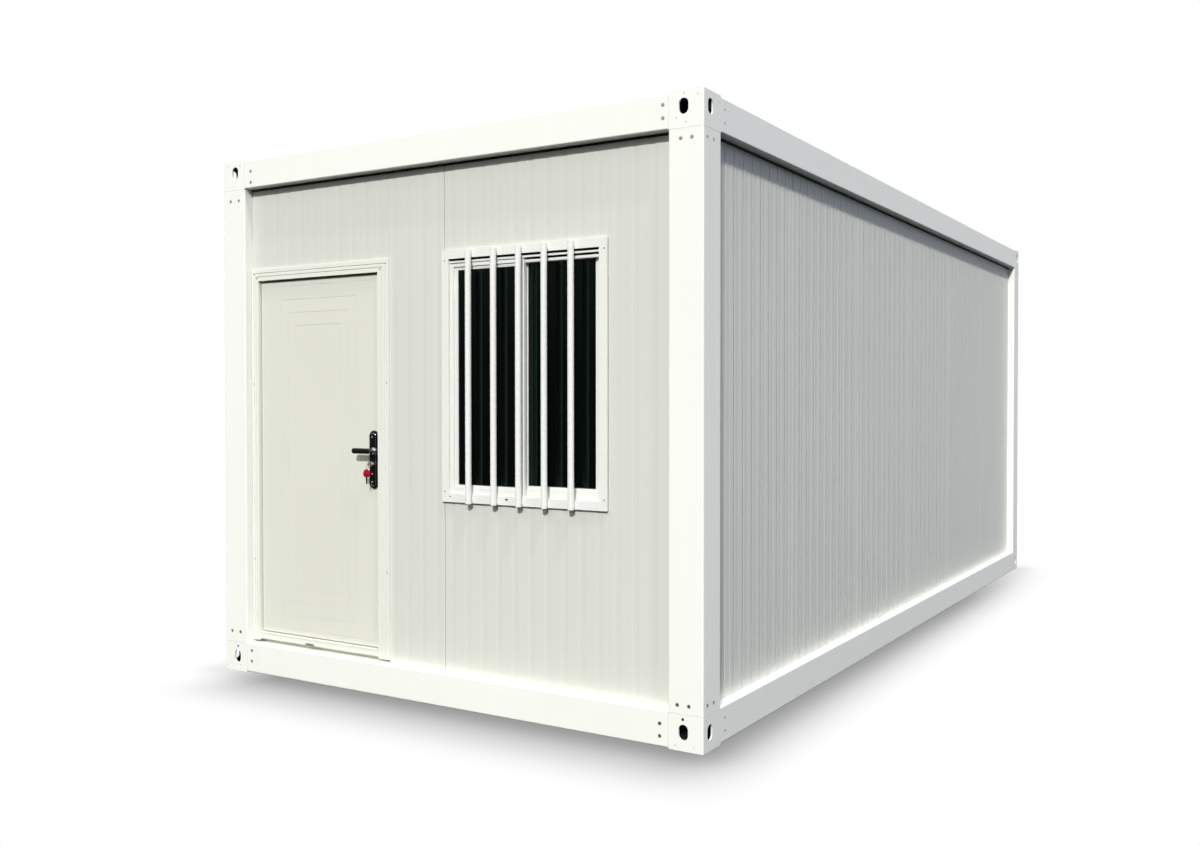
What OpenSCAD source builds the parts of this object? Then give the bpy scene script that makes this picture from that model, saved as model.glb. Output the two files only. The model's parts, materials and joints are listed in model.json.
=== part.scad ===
// Flat-pack site cabin: a bolted steel corner frame with sandwich-panel
// walls, one door and one barred window in the short front wall.
// Millimetres, +Z up, front wall towards -Y. The origin is at ground
// level, in the middle of the footprint.

/* [Overall] */
// Overall width, across the corner fittings
body_w = 3000; // [2900:10:3200]
// Overall length, front to back
body_l = 5950; // [5800:10:6100]
// Overall height, ground to the top of the corner fittings
body_h = 2800; // [2700:10:2900]

/* [Corner posts and fittings] */
// Width of a corner post, seen from the front
post_w = 170; // [160:5:180]
// Depth of a corner post, seen from the side
post_d = 160; // [150:5:170]
// Plate thickness of a corner post
post_t = 4; // [3:1:6]
// Rounding of the posts' and fittings' upright edges
edge_r = 7; // [4:1:9]
// Height of a corner fitting
cast_h = 158; // [150:2:165]
// Wall thickness of a corner fitting
cast_t = 8; // [6:1:10]
// Width of the oval hole in each outer face of a fitting
hole_w = 46; // [42:2:52]
// Height of that oval hole, end to end
hole_h = 68; // [62:2:76]
// Distance of the front oval holes from the outer upright edge
hole_in = 96; // [84:1:102]
// Distance of the side oval holes from the front outer face
hole_side_in = 62; // [54:1:90]
// Height of the oval holes' centre in a lower fitting
hole_low = 80; // [70:1:84]
// Distance of the oval holes' centre below the top of an upper fitting
hole_high = 66; // [60:1:84]
// Width of the slot in the fitting's top or bottom plate
slot_w = 56; // [50:2:62]
// Length of that slot, end to end
slot_l = 92; // [80:2:100]

/* [Beams] */
// Height of the floor beams' top above the ground
floor_beam_top = 162; // [158:2:164]
// Height of the roof beams
roof_beam_h = 152; // [148:2:156]
// Sheet thickness of the beams
beam_t = 4; // [3:1:5]
// Width of the wide flange, which carries the wall panels
flange_wide = 120; // [110:2:126]
// Width of the narrow flange
flange_narrow = 66; // [50:2:80]

/* [Wall panels] */
// Setback of the wall face behind the frame's face
recess = 52; // [44:1:60]
// Thickness of a sandwich panel
panel_t = 50; // [46:1:54]
// Cover width of a full panel
panel_pitch = 948; // [940:1:956]
// Gap between two panels at the joint
joint_gap = 3; // [2:0.5:4]
// Chamfer of a panel's edge at the joint
joint_chamfer = 3; // [1:0.5:4]
// Shallow upright flutes per full panel
ribs_per_panel = 10; // [6:1:12]
// Width of a shallow flute
rib_w = 38; // [24:2:48]
// Depth of a shallow flute
rib_depth = 1; // [0.6:0.2:2]

/* [Door] */
// Left edge of the door frame, from the middle of the cabin
door_x0 = -1328; // [-1328:1:-1320]
// Right edge of the door frame, from the middle of the cabin
door_x1 = -315; // [-330:1:-300]
// Top of the door frame above the ground
door_top = 2204; // [2190:2:2220]
// Face width of the hinge-side jamb
jamb_l = 55; // [50:1:60]
// Face width of the lock-side jamb
jamb_r = 77; // [70:1:84]
// Face height of the frame's head
head_h = 62; // [56:1:70]
// Height of the sill's top above the ground
sill_top = 222; // [216:1:230]
// Thickness of the door leaf
leaf_t = 46; // [44:1:48]
// Height of the lever's axis above the ground
lever_z = 1233; // [1200:1:1260]
// Reach of the lever
lever_len = 108; // [90:2:120]

/* [Window] */
// Left edge of the window's face flange, from the middle of the cabin
win_x0 = 36; // [32:1:40]
// Width over the face flange
win_w = 957; // [953:1:961]
// Height of the flange's lower edge above the ground
win_z0 = 997; // [900:1:1050]
// Height over the face flange
win_h = 1222; // [1150:2:1300]
// Thickness of a glass pane
glass_t = 5; // [4:1:6]

/* [Floor and roof] */
// Height of the finished floor above the ground
floor_top = 180; // [176:1:184]
// Number of floor joists
joists = 11; // [9:1:13]
// Thickness of the ceiling board
ceiling_t = 12; // [10:1:16]
// Spacing of the roof sheet's standing ribs
roof_pitch = 435; // [400:5:470]

/* [Hidden] */
$fn = 48;

hw = body_w / 2;                 // half width
hl = body_l / 2;                 // half length
cap_z = body_h - cast_h;         // underside of the upper fittings
roof_z0 = body_h - 4 - roof_beam_h;   // underside of the roof beams
roof_z1 = body_h - 4;                 // top of the roof beams
wall_z0 = floor_beam_top;
wall_z1 = roof_z0 - 2;
in_face = recess + panel_t;      // depth of the walls' inner face

white = [0.95, 0.96, 0.94];
wall_grey = [0.83, 0.84, 0.81];
door_white = [0.87, 0.88, 0.83];

// ---------- shapes used more than once ----------

// Rectangle with rounded corners, lower left corner at (x, y)
module rrect(x, y, w, h, r) {
  translate([x + r, y]) square([w - 2 * r, h]);
  translate([x, y + r]) square([w, h - 2 * r]);
  for (cx = [x + r, x + w - r], cy = [y + r, y + h - r])
    translate([cx, cy]) circle(r);
}

// Upright oval, centred, w wide and h high
module oval(w, h) {
  square([w, h - w], center = true);
  for (s = [-1, 1]) translate([0, s * (h - w) / 2]) circle(w / 2);
}

// Places a child drawn for the front right corner
module corner(sx, sy) {
  mirror([sx < 0 ? 1 : 0, 0, 0]) mirror([0, sy > 0 ? 1 : 0, 0]) children();
}

// Corner fitting of the front right corner, as it stands at the bottom: a
// hollow box with an oval hole in each outer face and a slot in its plate
module casting(hole_z) {
  x0 = hw - post_w;
  y0 = -hl;
  difference() {
    linear_extrude(cast_h) rrect(x0, y0, post_w, post_d, edge_r);
    translate([x0 + cast_t, y0 + cast_t, cast_t])
      cube([post_w - 2 * cast_t, post_d - 2 * cast_t, cast_h - 2 * cast_t]);
    // front face
    translate([hw - hole_in, y0 + cast_t + 1, hole_z]) rotate([90, 0, 0])
      linear_extrude(cast_t + 2) oval(hole_w, hole_h);
    // side face
    translate([hw - cast_t - 1, y0 + hole_side_in, hole_z]) rotate([90, 0, 90])
      linear_extrude(cast_t + 2) oval(hole_w, hole_h);
    // bottom plate
    translate([hw - post_w / 2, y0 + post_d / 2, -1]) rotate([0, 0, 90])
      linear_extrude(cast_t + 2) oval(slot_w, slot_l);
  }
}

module casting_low() {
  casting(hole_low);
}

module casting_high() {
  translate([0, 0, body_h]) mirror([0, 0, 1]) casting(hole_high);
}

module post() {
  translate([0, 0, cast_h]) linear_extrude(cap_z - cast_h) difference() {
    rrect(hw - post_w, -hl, post_w, post_d, edge_r);
    rrect(hw - post_w + post_t, -hl + post_t, post_w - 2 * post_t,
          post_d - 2 * post_t, edge_r - post_t > 0 ? edge_r - post_t : 1);
  }
}

// Beam section: depth from the outer face along X, height along Y
module beam_section(z0, z1, wide_on_top) {
  difference() {
    rrect(0, z0, flange_wide, z1 - z0, 6);
    rrect(beam_t, z0 + beam_t, flange_wide + 20, z1 - z0 - 2 * beam_t, 2);
    if (wide_on_top)
      translate([flange_narrow, z0 - 1]) square([flange_wide, beam_t + 2]);
    else
      translate([flange_narrow, z1 - beam_t - 1]) square([flange_wide, beam_t + 2]);
  }
}

// Front beam: its section runs along X between the two corner fittings
module beam_front(z0, z1, wide_on_top) {
  translate([-(hw - post_w), -hl, 0]) rotate([90, 0, 90])
    linear_extrude(body_w - 2 * post_w) beam_section(z0, z1, wide_on_top);
}

// Right beam: its section runs along Y
module beam_right(z0, z1, wide_on_top) {
  translate([hw, hl - post_d, 0]) rotate([90, 0, 0]) mirror([1, 0, 0])
    linear_extrude(body_l - 2 * post_d) beam_section(z0, z1, wide_on_top);
}

// ---------- wall panels ----------

tongue_t = 20;                   // tongue thickness
tongue_l = 12;                   // how far a tongue enters the next panel
rib_pitch = panel_pitch / ribs_per_panel;

// Points across the outer face from s0 to s1, with the shallow flutes that
// stand halfway between whole multiples of rib_pitch from ref
function face_pts(s0, s1, ref) = [
  for (k = [ceil((s0 + 8 + rib_w / 2 - ref) / rib_pitch - 0.5)
            : floor((s1 - 8 - rib_w / 2 - ref) / rib_pitch - 0.5)])
    let (p = ref + (k + 0.5) * rib_pitch)
      for (q = [[-0.5, 0], [-0.26, 1], [0.26, 1], [0.5, 0]])
        [p + q[0] * rib_w, q[1] * rib_depth]
];

// Plan outline of one panel from s0 to s1; lo and hi are "tongue",
// "groove" or "plain" at its two ends
function panel_pts(s0, s1, ref, lo, hi) = let (
    a = s0 + joint_gap / 2, b = s1 - joint_gap / 2, c = joint_chamfer,
    m = panel_t / 2, tt = tongue_t / 2, gt = tongue_t / 2 + 1,
    reach = joint_gap + tongue_l)
  concat(
    [[a, c], [a + c, 0]],
    face_pts(s0, s1, ref),
    [[b - c, 0], [b, c]],
    hi == "tongue" ? [[b, m - tt], [b + reach, m - tt], [b + reach, m + tt], [b, m + tt]]
    : hi == "groove" ? [[b, m - gt], [b - tongue_l - 2, m - gt], [b - tongue_l - 2, m + gt], [b, m + gt]]
    : [],
    [[b, panel_t], [a, panel_t]],
    lo == "tongue" ? [[a, m + tt], [a - reach, m + tt], [a - reach, m - tt], [a, m - tt]]
    : lo == "groove" ? [[a, m + gt], [a + tongue_l + 2, m + gt], [a + tongue_l + 2, m - gt], [a, m - gt]]
    : []
  );

// A panel of the front wall; s runs from the right outer edge to the left
module front_panel(s0, s1, z0, z1, ref, lo, hi) {
  translate([0, 0, z0]) linear_extrude(z1 - z0)
    polygon([for (p = panel_pts(s0, s1, ref, lo, hi)) [hw - p[0], -hl + recess + p[1]]]);
}

// A panel of the right wall; s runs from the front outer face to the back
module right_panel(s0, s1, ref, lo, hi) {
  translate([0, 0, wall_z0]) linear_extrude(wall_z1 - wall_z0)
    polygon([for (p = panel_pts(s0, s1, ref, lo, hi)) [hw - recess - p[1], -hl + p[0]]]);
}

side_n = floor((body_l - 2 * post_d - 40) / panel_pitch) + 1;
side_s1 = body_l - post_d;       // the last panel ends at the far post
module side_wall() {
  for (k = [0 : side_n - 1]) {
    s0 = max(post_d, side_s1 - (side_n - k) * panel_pitch);
    s1 = side_s1 - (side_n - 1 - k) * panel_pitch;
    right_panel(k == 0 ? s0 - joint_gap / 2 + 1 : s0,
                k == side_n - 1 ? s1 + joint_gap / 2 - 1 : s1, s1,
                k == 0 ? "plain" : "groove", k == side_n - 1 ? "plain" : "tongue");
  }
}

// Front wall joints, counted from the right outer edge
seam_r = 510;                    // right of the window
seam_l = seam_r + panel_pitch;   // left of the window
door_cut = hw - door_x1 + 12;    // edge of the panel at the door frame

// ---------- door ----------

df0 = -hl + recess - 10;         // front face of the door frame
df1 = -hl + in_face + 10;        // back face of the door frame
ox0 = door_x0 + jamb_l;          // clear opening, left
ox1 = door_x1 - jamb_r;          // clear opening, right
oz1 = door_top - head_h;         // clear opening, top
reb_y = df0 + 40;                // shoulder that the leaf closes against
leaf_y0 = df0 + 18;              // leaf's outer face
leaf_y1 = leaf_y0 + leaf_t;      // leaf's inner face
lx0 = ox0 + 6;
lx1 = ox1 - 8;
lz0 = sill_top + 6;
lz1 = oz1 - 10;
hinge_x = ox0 - 6;
hinge_y = df1 + 11;
lock_x = lx1 - 31;
plate_t = 10;
cyl_r = 11;                      // lock cylinder

// ---------- window ----------

wf_y0 = -hl + recess - 12;       // outer face of the window flange
wx1 = win_x0 + win_w;
wz1 = win_z0 + win_h;
wb = 16;                         // flange overlap on the panels

// ---------- sub-parts ----------

module casting_front_left_low() { color(white) corner(-1, -1) casting_low(); }
module casting_front_right_low() { color(white) corner(1, -1) casting_low(); }
module casting_rear_left_low() { color(white) corner(-1, 1) casting_low(); }
module casting_rear_right_low() { color(white) corner(1, 1) casting_low(); }
module casting_front_left_high() { color(white) corner(-1, -1) casting_high(); }
module casting_front_right_high() { color(white) corner(1, -1) casting_high(); }
module casting_rear_left_high() { color(white) corner(-1, 1) casting_high(); }
module casting_rear_right_high() { color(white) corner(1, 1) casting_high(); }

module post_front_left() { color(white) corner(-1, -1) post(); }
module post_front_right() { color(white) corner(1, -1) post(); }
module post_rear_left() { color(white) corner(-1, 1) post(); }
module post_rear_right() { color(white) corner(1, 1) post(); }

module floor_beam_front() { color(white) beam_front(4, floor_beam_top, true); }
module floor_beam_rear() { color(white) mirror([0, 1, 0]) beam_front(4, floor_beam_top, true); }
module floor_beam_right() { color(white) beam_right(4, floor_beam_top, true); }
module floor_beam_left() { color(white) mirror([1, 0, 0]) beam_right(4, floor_beam_top, true); }
module roof_beam_front() { color(white) beam_front(roof_z0, roof_z1, false); }
module roof_beam_rear() { color(white) mirror([0, 1, 0]) beam_front(roof_z0, roof_z1, false); }
module roof_beam_right() { color(white) beam_right(roof_z0, roof_z1, false); }
module roof_beam_left() { color(white) mirror([1, 0, 0]) beam_right(roof_z0, roof_z1, false); }

// Steel joists between the two long floor beams
module floor_joists() {
  color([0.62, 0.64, 0.65]) {
    span = body_l - 2 * post_d - 260;
    for (k = [0 : joists - 1])
      translate([-(hw - beam_t - 3), -span / 2 + k * span / (joists - 1) - 25, 38])
        difference() {
          cube([body_w - 2 * beam_t - 6, 50, floor_beam_top - beam_t - 38]);
          translate([-1, 3, 3]) cube([body_w, 60, floor_beam_top - beam_t - 44]);
        }
  }
}

// Plan of a board inside the walls, less the four corner posts
module deck_plan(dx, dy, gx, gy) {
  difference() {
    square([2 * dx, 2 * dy], center = true);
    for (sx = [-1, 1], sy = [-1, 1])
      translate([sx * hw, sy * hl]) square([2 * (post_w + gx), 2 * (post_d + gy)], center = true);
  }
}

module floor_board() {
  color([0.55, 0.53, 0.5]) difference() {
    union() {
      translate([0, 0, floor_beam_top]) linear_extrude(floor_top - floor_beam_top)
        deck_plan(hw - in_face - 1, hl - in_face - 1, 1, 1);
      translate([0, 0, floor_beam_top - beam_t]) linear_extrude(beam_t + 1)
        deck_plan(hw - flange_wide - 2, hl - flange_wide - 2, 1, 1);
    }
    translate([-hw, -hl, floor_beam_top - 20])
      cube([hw + door_x1 + 2, in_face + 12, 60]);
  }
}

// Ceiling in a large board and a narrow one at each end, 3 mm apart
module ceiling_board() {
  ye = hl - post_d - 4;
  color([0.9, 0.9, 0.88]) translate([0, 0, roof_z0 + beam_t]) linear_extrude(ceiling_t) {
    translate([-(hw - 60), -ye]) square([2 * (hw - 60), 2 * ye]);
    for (y = [ye + 3, -(hl - 60)])
      translate([-(hw - post_w - 3), y]) square([2 * (hw - post_w - 3), hl - 60 - ye - 3]);
  }
}

// Roof sheet with standing ribs across the cabin, sunk between the beams,
// and a flat flashing at each end, between the corner fittings
module roof_sheet() {
  z = roof_z1 - 34;
  n = floor((hl - 60) / roof_pitch);
  ye = hl - post_d - 3;
  color([0.86, 0.87, 0.86]) for (y = [ye - 22, -(hl - 10)])
    translate([-(hw - post_w - 3), y, z + 4]) cube([2 * (hw - post_w - 3), hl - 10 - ye + 22, 3]);
  color([0.86, 0.87, 0.86]) intersection() {
    translate([-(hw - 10), -ye, z - 5]) cube([2 * (hw - 10), 2 * ye, 60]);
    translate([-hw, 0, 0]) rotate([90, 0, 90]) linear_extrude(body_w)
      polygon(concat(
        [[-hl, z], [-hl, z + 3]],
        [for (k = [-n : n], q = [[-30, 3], [-14, 25], [14, 25], [30, 3]])
          [k * roof_pitch + q[0], z + q[1]]],
        [[hl, z + 3], [hl, z]],
        [for (k = [n : -1 : -n], q = [[28, 0], [12, 22], [-12, 22], [-28, 0]])
          [k * roof_pitch + q[0], z + q[1]]]
      ));
  }
}

module front_wall_over_door() {
  color(wall_grey)
    front_panel(door_cut - joint_gap / 2 + 1, body_w - post_w + joint_gap / 2 - 1,
                door_top - 12, wall_z1, seam_l, "plain", "plain");
}
module front_wall_beside_door() {
  color(wall_grey)
    front_panel(seam_l, door_cut + joint_gap / 2, wall_z0, wall_z1, seam_l, "groove", "plain");
}
module front_wall_below_window() {
  color(wall_grey)
    front_panel(seam_r, seam_l, wall_z0, win_z0 + wb - 4, seam_l, "tongue", "tongue");
}
module front_wall_above_window() {
  color(wall_grey)
    front_panel(seam_r, seam_l, wz1 - wb + 4, wall_z1, seam_l, "tongue", "tongue");
}
module front_wall_right() {
  color(wall_grey)
    front_panel(post_w - joint_gap / 2 + 1, seam_r, wall_z0, wall_z1, seam_l, "plain", "groove");
}

module right_wall() { color(wall_grey) side_wall(); }
module left_wall() { color(wall_grey) mirror([1, 0, 0]) side_wall(); }
module rear_wall() {
  h = panel_pitch / 2;
  color(wall_grey) mirror([0, 1, 0]) {
    front_panel(post_w - joint_gap / 2 + 1, hw - h, wall_z0, wall_z1, hw - h, "plain", "tongue");
    front_panel(hw - h, hw + h, wall_z0, wall_z1, hw - h, "groove", "tongue");
    front_panel(hw + h, body_w - post_w + joint_gap / 2 - 1, wall_z0, wall_z1, hw - h,
                "groove", "plain");
  }
}

// Fine groove run round the face of the door frame: a, b and c are its
// distances outside the clear opening at the left, the top and the right
module frame_groove(a, b, c) {
  w = 6;
  for (r = [[ox0 - a, 170, oz1 + b], [ox1 + c, 170, oz1 + b]])
    translate([r[0] - w / 2, df0 - 1, r[1]]) cube([w, 4, r[2] - r[1] + w / 2]);
  translate([ox0 - a - w / 2, df0 - 1, oz1 + b - w / 2])
    cube([ox1 + c - ox0 + a + w, 4, w]);
}

module door_frame() {
  color([0.94, 0.95, 0.91]) difference() {
    union() {
      // hinge-side jamb
      translate([0, 0, 176]) linear_extrude(door_top - 176)
        polygon([[door_x0, df0], [ox0, df0], [ox0, reb_y], [ox0 - 18, reb_y],
                 [ox0 - 18, df1], [door_x0, df1]]);
      // lock-side jamb
      translate([0, 0, 176]) linear_extrude(door_top - 176)
        polygon([[ox1, df0], [door_x1, df0], [door_x1, df0 + 10], [door_x1 - 12, df0 + 10],
                 [door_x1 - 12, df1 - 10], [door_x1, df1 - 10], [door_x1, df1],
                 [ox1 + 21, df1], [ox1 + 21, reb_y], [ox1, reb_y]]);
      // head
      translate([door_x0, 0, 0]) rotate([90, 0, 90]) linear_extrude(door_x1 - 12 - door_x0)
        polygon([[df0, oz1], [df0, door_top], [df0 + 10, door_top],
                 [df0 + 10, door_top - 14], [df1 - 10, door_top - 14], [df1 - 10, door_top],
                 [df1, door_top], [df1, oz1 + 18], [reb_y, oz1 + 18], [reb_y, oz1]]);
    }
    // the panel over the door enters behind the two face flanges
    translate([door_x0 - 1, df0 + 10, door_top - 14]) cube([door_x1 - door_x0 + 2, df1 - df0 - 20, 20]);
    frame_groove(20, 21, 31);
    frame_groove(36, 40, 51);
  }
}

module door_sill() {
  color([0.9, 0.91, 0.87]) {
    translate([ox0, df0, 187]) cube([ox1 - ox0, reb_y - df0 + 4, sill_top - 187]);
    translate([ox0 - 18, reb_y, floor_beam_top])
      cube([ox1 - ox0 + 39, df1 - reb_y, sill_top - 14 - floor_beam_top]);
  }
}

// Shallow pressed frame line on the leaf, i mm inside its edges
module pressed_line(ix, iz, w, d) {
  x0 = lx0 + ix; x1 = lx1 - ix; z0 = lz0 + iz; z1 = lz1 - iz;
  translate([x0, leaf_y0 - 1, z0]) cube([x1 - x0, d + 1, w]);
  translate([x0, leaf_y0 - 1, z1 - w]) cube([x1 - x0, d + 1, w]);
  translate([x0, leaf_y0 - 1, z0]) cube([w, d + 1, z1 - z0]);
  translate([x1 - w, leaf_y0 - 1, z0]) cube([w, d + 1, z1 - z0]);
}

module door_leaf() {
  color(door_white) difference() {
    union() {
      translate([lx0, leaf_y0, lz0]) cube([lx1 - lx0, leaf_t, lz1 - lz0]);
      translate([ox0 - 12, leaf_y1 - 20, sill_top - 8])
        cube([ox1 - ox0 + 27, 20, oz1 + 12 - sill_top + 8]);
    }
    // pressed lines
    pressed_line(16, 26, 5, 1.2);
    pressed_line(156, 100, 5, 1.2);
    pressed_line(210, 170, 5, 1.2);
    pressed_line(264, 240, 5, 1.2);
    // bores of the lever's spindle and the lock cylinder
    translate([lock_x, leaf_y0 - 1, lever_z]) rotate([-90, 0, 0]) cylinder(h = leaf_t + 2, r = 13);
    translate([lock_x, leaf_y0 - 1, lever_z - 66]) rotate([-90, 0, 0]) cylinder(h = leaf_t + 2, r = cyl_r);
  }
}

hinge_z = [430, 1180, 1930];
module door_hinges_fixed() {
  color([0.75, 0.76, 0.76]) for (z = hinge_z) {
    translate([hinge_x, hinge_y, z - 50]) cylinder(h = 49, r = 9);
    translate([hinge_x, hinge_y, z - 2]) cylinder(h = 44, r = 5);
    translate([ox0 - 50, df1, z - 50]) cube([44 - 0, 3, 49]);
    translate([hinge_x - 10, df1, z - 50]) cube([6, 8, 49]);
  }
}
module door_hinges_moving() {
  color([0.75, 0.76, 0.76]) for (z = hinge_z) difference() {
    union() {
      translate([hinge_x, hinge_y, z]) cylinder(h = 50, r = 9);
      translate([hinge_x + 6, leaf_y1, z]) cube([42, 3, 50]);
      translate([hinge_x + 6, leaf_y1, z]) cube([5, hinge_y - leaf_y1 + 2, 50]);
    }
    translate([hinge_x, hinge_y, z - 1]) cylinder(h = 44, r = 5.06);
  }
}

// Long lock plates, one on each face of the leaf
module plate_shape() {
  translate([lock_x, 0, 0]) {
    translate([-30, 1070]) square([60, 237]);
    for (z = [1070, 1307]) translate([0, z]) circle(30);
  }
}
module lock_plates() {
  color([0.13, 0.13, 0.14]) difference() {
    for (y = [leaf_y0, leaf_y1 + plate_t])
      translate([0, y, 0]) rotate([90, 0, 0]) linear_extrude(plate_t) plate_shape();
    translate([lock_x, leaf_y0 - 20, lever_z]) rotate([-90, 0, 0])
      cylinder(h = leaf_t + 40, r = 11.05);
    translate([lock_x, leaf_y0 - 20, lever_z - 66]) rotate([-90, 0, 0])
      cylinder(h = leaf_t + 40, r = cyl_r);
  }
}
module lock_cylinder() {
  color([0.8, 0.8, 0.8]) translate([lock_x, leaf_y0 - 30, lever_z - 66]) rotate([-90, 0, 0])
    cylinder(h = leaf_t + 52, r = cyl_r);
}

// Lever handle: one spindle with an arm on each side of the leaf
module lever_handle() {
  color([0.2, 0.2, 0.21]) {
    translate([lock_x, leaf_y0 - 50, lever_z]) rotate([-90, 0, 0])
      cylinder(h = leaf_t + 100, r = 11);
    for (y = [leaf_y0 - 42, leaf_y1 + 56])
      translate([lock_x, y, lever_z]) rotate([90, 0, 0]) linear_extrude(14) {
        translate([-(lever_len - 13), -13]) square([lever_len - 13, 26]);
        translate([-(lever_len - 13), 0]) circle(13);
        circle(13);
      }
  }
}

// A rectangular ring standing in the front wall, d deep from y
module ring(x0, x1, z0, z1, w, y, d) {
  translate([x0, y, z0]) difference() {
    cube([x1 - x0, d, z1 - z0]);
    translate([w, -1, w]) cube([x1 - x0 - 2 * w, d + 2, z1 - z0 - 2 * w]);
  }
}

module window_frame() {
  color([0.95, 0.96, 0.95]) {
    // face flange and the box behind it
    ring(win_x0, wx1, win_z0, wz1, 42, wf_y0, 10);
    ring(win_x0 + wb, wx1 - wb + 7, win_z0 + wb, wz1 - wb, wb + 3, wf_y0 + 9, panel_t + 18);
    // head rail, under the slot in the flange
    translate([win_x0 + 41, wf_y0 + 7, wz1 - 62]) cube([win_w - 82, 3, 9]);
    // inner lip
    ring(win_x0 + 34, wx1 - 27, win_z0 + 34, wz1 - 34, 12, wf_y0 + 55, 5);
  }
}

// Two sliding sashes: the left one runs in the outer track. Each has face
// widths f and widths w to the glass, at its left, right, bottom and top
lsash = [win_x0 + 38, win_x0 + 491, win_z0 + 38, wz1 - 53];
lf = [27, 40, 35, 28];
lw = [50, 52, 47, 44];
rsash = [win_x0 + 453, wx1 - 31, win_z0 + 38, wz1 - 69];
rf = [29, 40, 43, 13];
rw = [41, 52, 55, 17];
l_y = wf_y0 + 12;
r_y = wf_y0 + 32;
sash_t = 18;

// Opening of a sash: b is its box and m its four margins
module sash_hole(b, m, y, d) {
  translate([b[0] + m[0], y, b[2] + m[2]])
    cube([b[1] - b[0] - m[0] - m[1], d, b[3] - b[2] - m[2] - m[3]]);
}
module sash(b, f, w, y) {
  difference() {
    translate([b[0], y, b[2]]) cube([b[1] - b[0], sash_t, b[3] - b[2]]);
    sash_hole(b, w, y - 1, sash_t + 2);
    sash_hole(b, f, y - 1, 7);
  }
}
module window_sashes() {
  color([0.95, 0.96, 0.95]) {
    sash(lsash, lf, lw, l_y);
    sash(rsash, rf, rw, r_y);
  }
}
module window_glass() {
  color([0.1, 0.13, 0.12, 0.6]) {
    sash_hole(lsash, lw, l_y + 12, glass_t);
    sash_hole(rsash, rw, r_y + 12, glass_t);
  }
}

casting_front_left_low();
casting_front_right_low();
casting_rear_left_low();
casting_rear_right_low();
casting_front_left_high();
casting_front_right_high();
casting_rear_left_high();
casting_rear_right_high();
post_front_left();
post_front_right();
post_rear_left();
post_rear_right();
floor_beam_front();
floor_beam_rear();
floor_beam_left();
floor_beam_right();
roof_beam_front();
roof_beam_rear();
roof_beam_left();
roof_beam_right();
floor_joists();
floor_board();
ceiling_board();
roof_sheet();
front_wall_over_door();
front_wall_beside_door();
front_wall_below_window();
front_wall_above_window();
front_wall_right();
right_wall();
left_wall();
rear_wall();
door_frame();
door_sill();
door_leaf();
door_hinges_fixed();
door_hinges_moving();
lock_plates();
lock_cylinder();
lever_handle();
window_frame();
window_sashes();
window_glass();
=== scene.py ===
import json
import math
import bmesh
import bpy
from mathutils import Matrix, Vector


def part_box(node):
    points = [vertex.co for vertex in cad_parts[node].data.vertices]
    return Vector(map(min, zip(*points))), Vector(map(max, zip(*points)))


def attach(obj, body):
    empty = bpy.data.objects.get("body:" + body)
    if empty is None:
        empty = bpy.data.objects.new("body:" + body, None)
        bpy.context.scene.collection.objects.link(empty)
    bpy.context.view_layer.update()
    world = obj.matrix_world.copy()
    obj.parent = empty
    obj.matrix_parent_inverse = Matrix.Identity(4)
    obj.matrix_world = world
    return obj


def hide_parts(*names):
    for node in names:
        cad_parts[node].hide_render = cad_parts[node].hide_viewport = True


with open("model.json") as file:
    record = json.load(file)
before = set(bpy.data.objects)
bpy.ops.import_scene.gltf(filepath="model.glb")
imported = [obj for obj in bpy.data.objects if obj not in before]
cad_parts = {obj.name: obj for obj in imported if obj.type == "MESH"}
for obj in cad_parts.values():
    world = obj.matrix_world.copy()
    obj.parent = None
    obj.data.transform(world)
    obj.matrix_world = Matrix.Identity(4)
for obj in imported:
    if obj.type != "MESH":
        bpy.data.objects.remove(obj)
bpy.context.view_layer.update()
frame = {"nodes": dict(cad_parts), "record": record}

scene = bpy.context.scene
NODES = frame["nodes"]

# ---------------------------------------------------------------- materials


def new_mat(name):
    m = bpy.data.materials.new(name)
    m.use_nodes = True
    nt = m.node_tree
    nt.nodes.clear()
    out = nt.nodes.new("ShaderNodeOutputMaterial")
    bsdf = nt.nodes.new("ShaderNodeBsdfPrincipled")
    nt.links.new(bsdf.outputs[0], out.inputs[0])
    return m, nt, bsdf


def coords(nt, scale=(1, 1, 1)):
    tc = nt.nodes.new("ShaderNodeTexCoord")
    mp = nt.nodes.new("ShaderNodeMapping")
    mp.inputs["Scale"].default_value = scale
    nt.links.new(tc.outputs["Object"], mp.inputs["Vector"])
    return mp.outputs[0]


def noise(nt, vec, scale, detail=3.0, rough=0.55):
    n = nt.nodes.new("ShaderNodeTexNoise")
    n.inputs["Scale"].default_value = scale
    n.inputs["Detail"].default_value = detail
    n.inputs["Roughness"].default_value = rough
    nt.links.new(vec, n.inputs["Vector"])
    return n.outputs["Fac"]


def ramp(nt, fac, stops, mode="LINEAR"):
    r = nt.nodes.new("ShaderNodeValToRGB")
    r.color_ramp.interpolation = mode
    els = r.color_ramp.elements
    while len(els) < len(stops):
        els.new(0.5)
    for e, (p, c) in zip(els, stops):
        e.position = p
        e.color = (*c, 1) if len(c) == 3 else c
    nt.links.new(fac, r.inputs[0])
    return r.outputs[0]


def span(nt, fac, a, b, lo, hi, clamp=True):
    m = nt.nodes.new("ShaderNodeMapRange")
    m.clamp = clamp
    m.inputs["From Min"].default_value = a
    m.inputs["From Max"].default_value = b
    m.inputs["To Min"].default_value = lo
    m.inputs["To Max"].default_value = hi
    nt.links.new(fac, m.inputs["Value"])
    return m.outputs[0]


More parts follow.
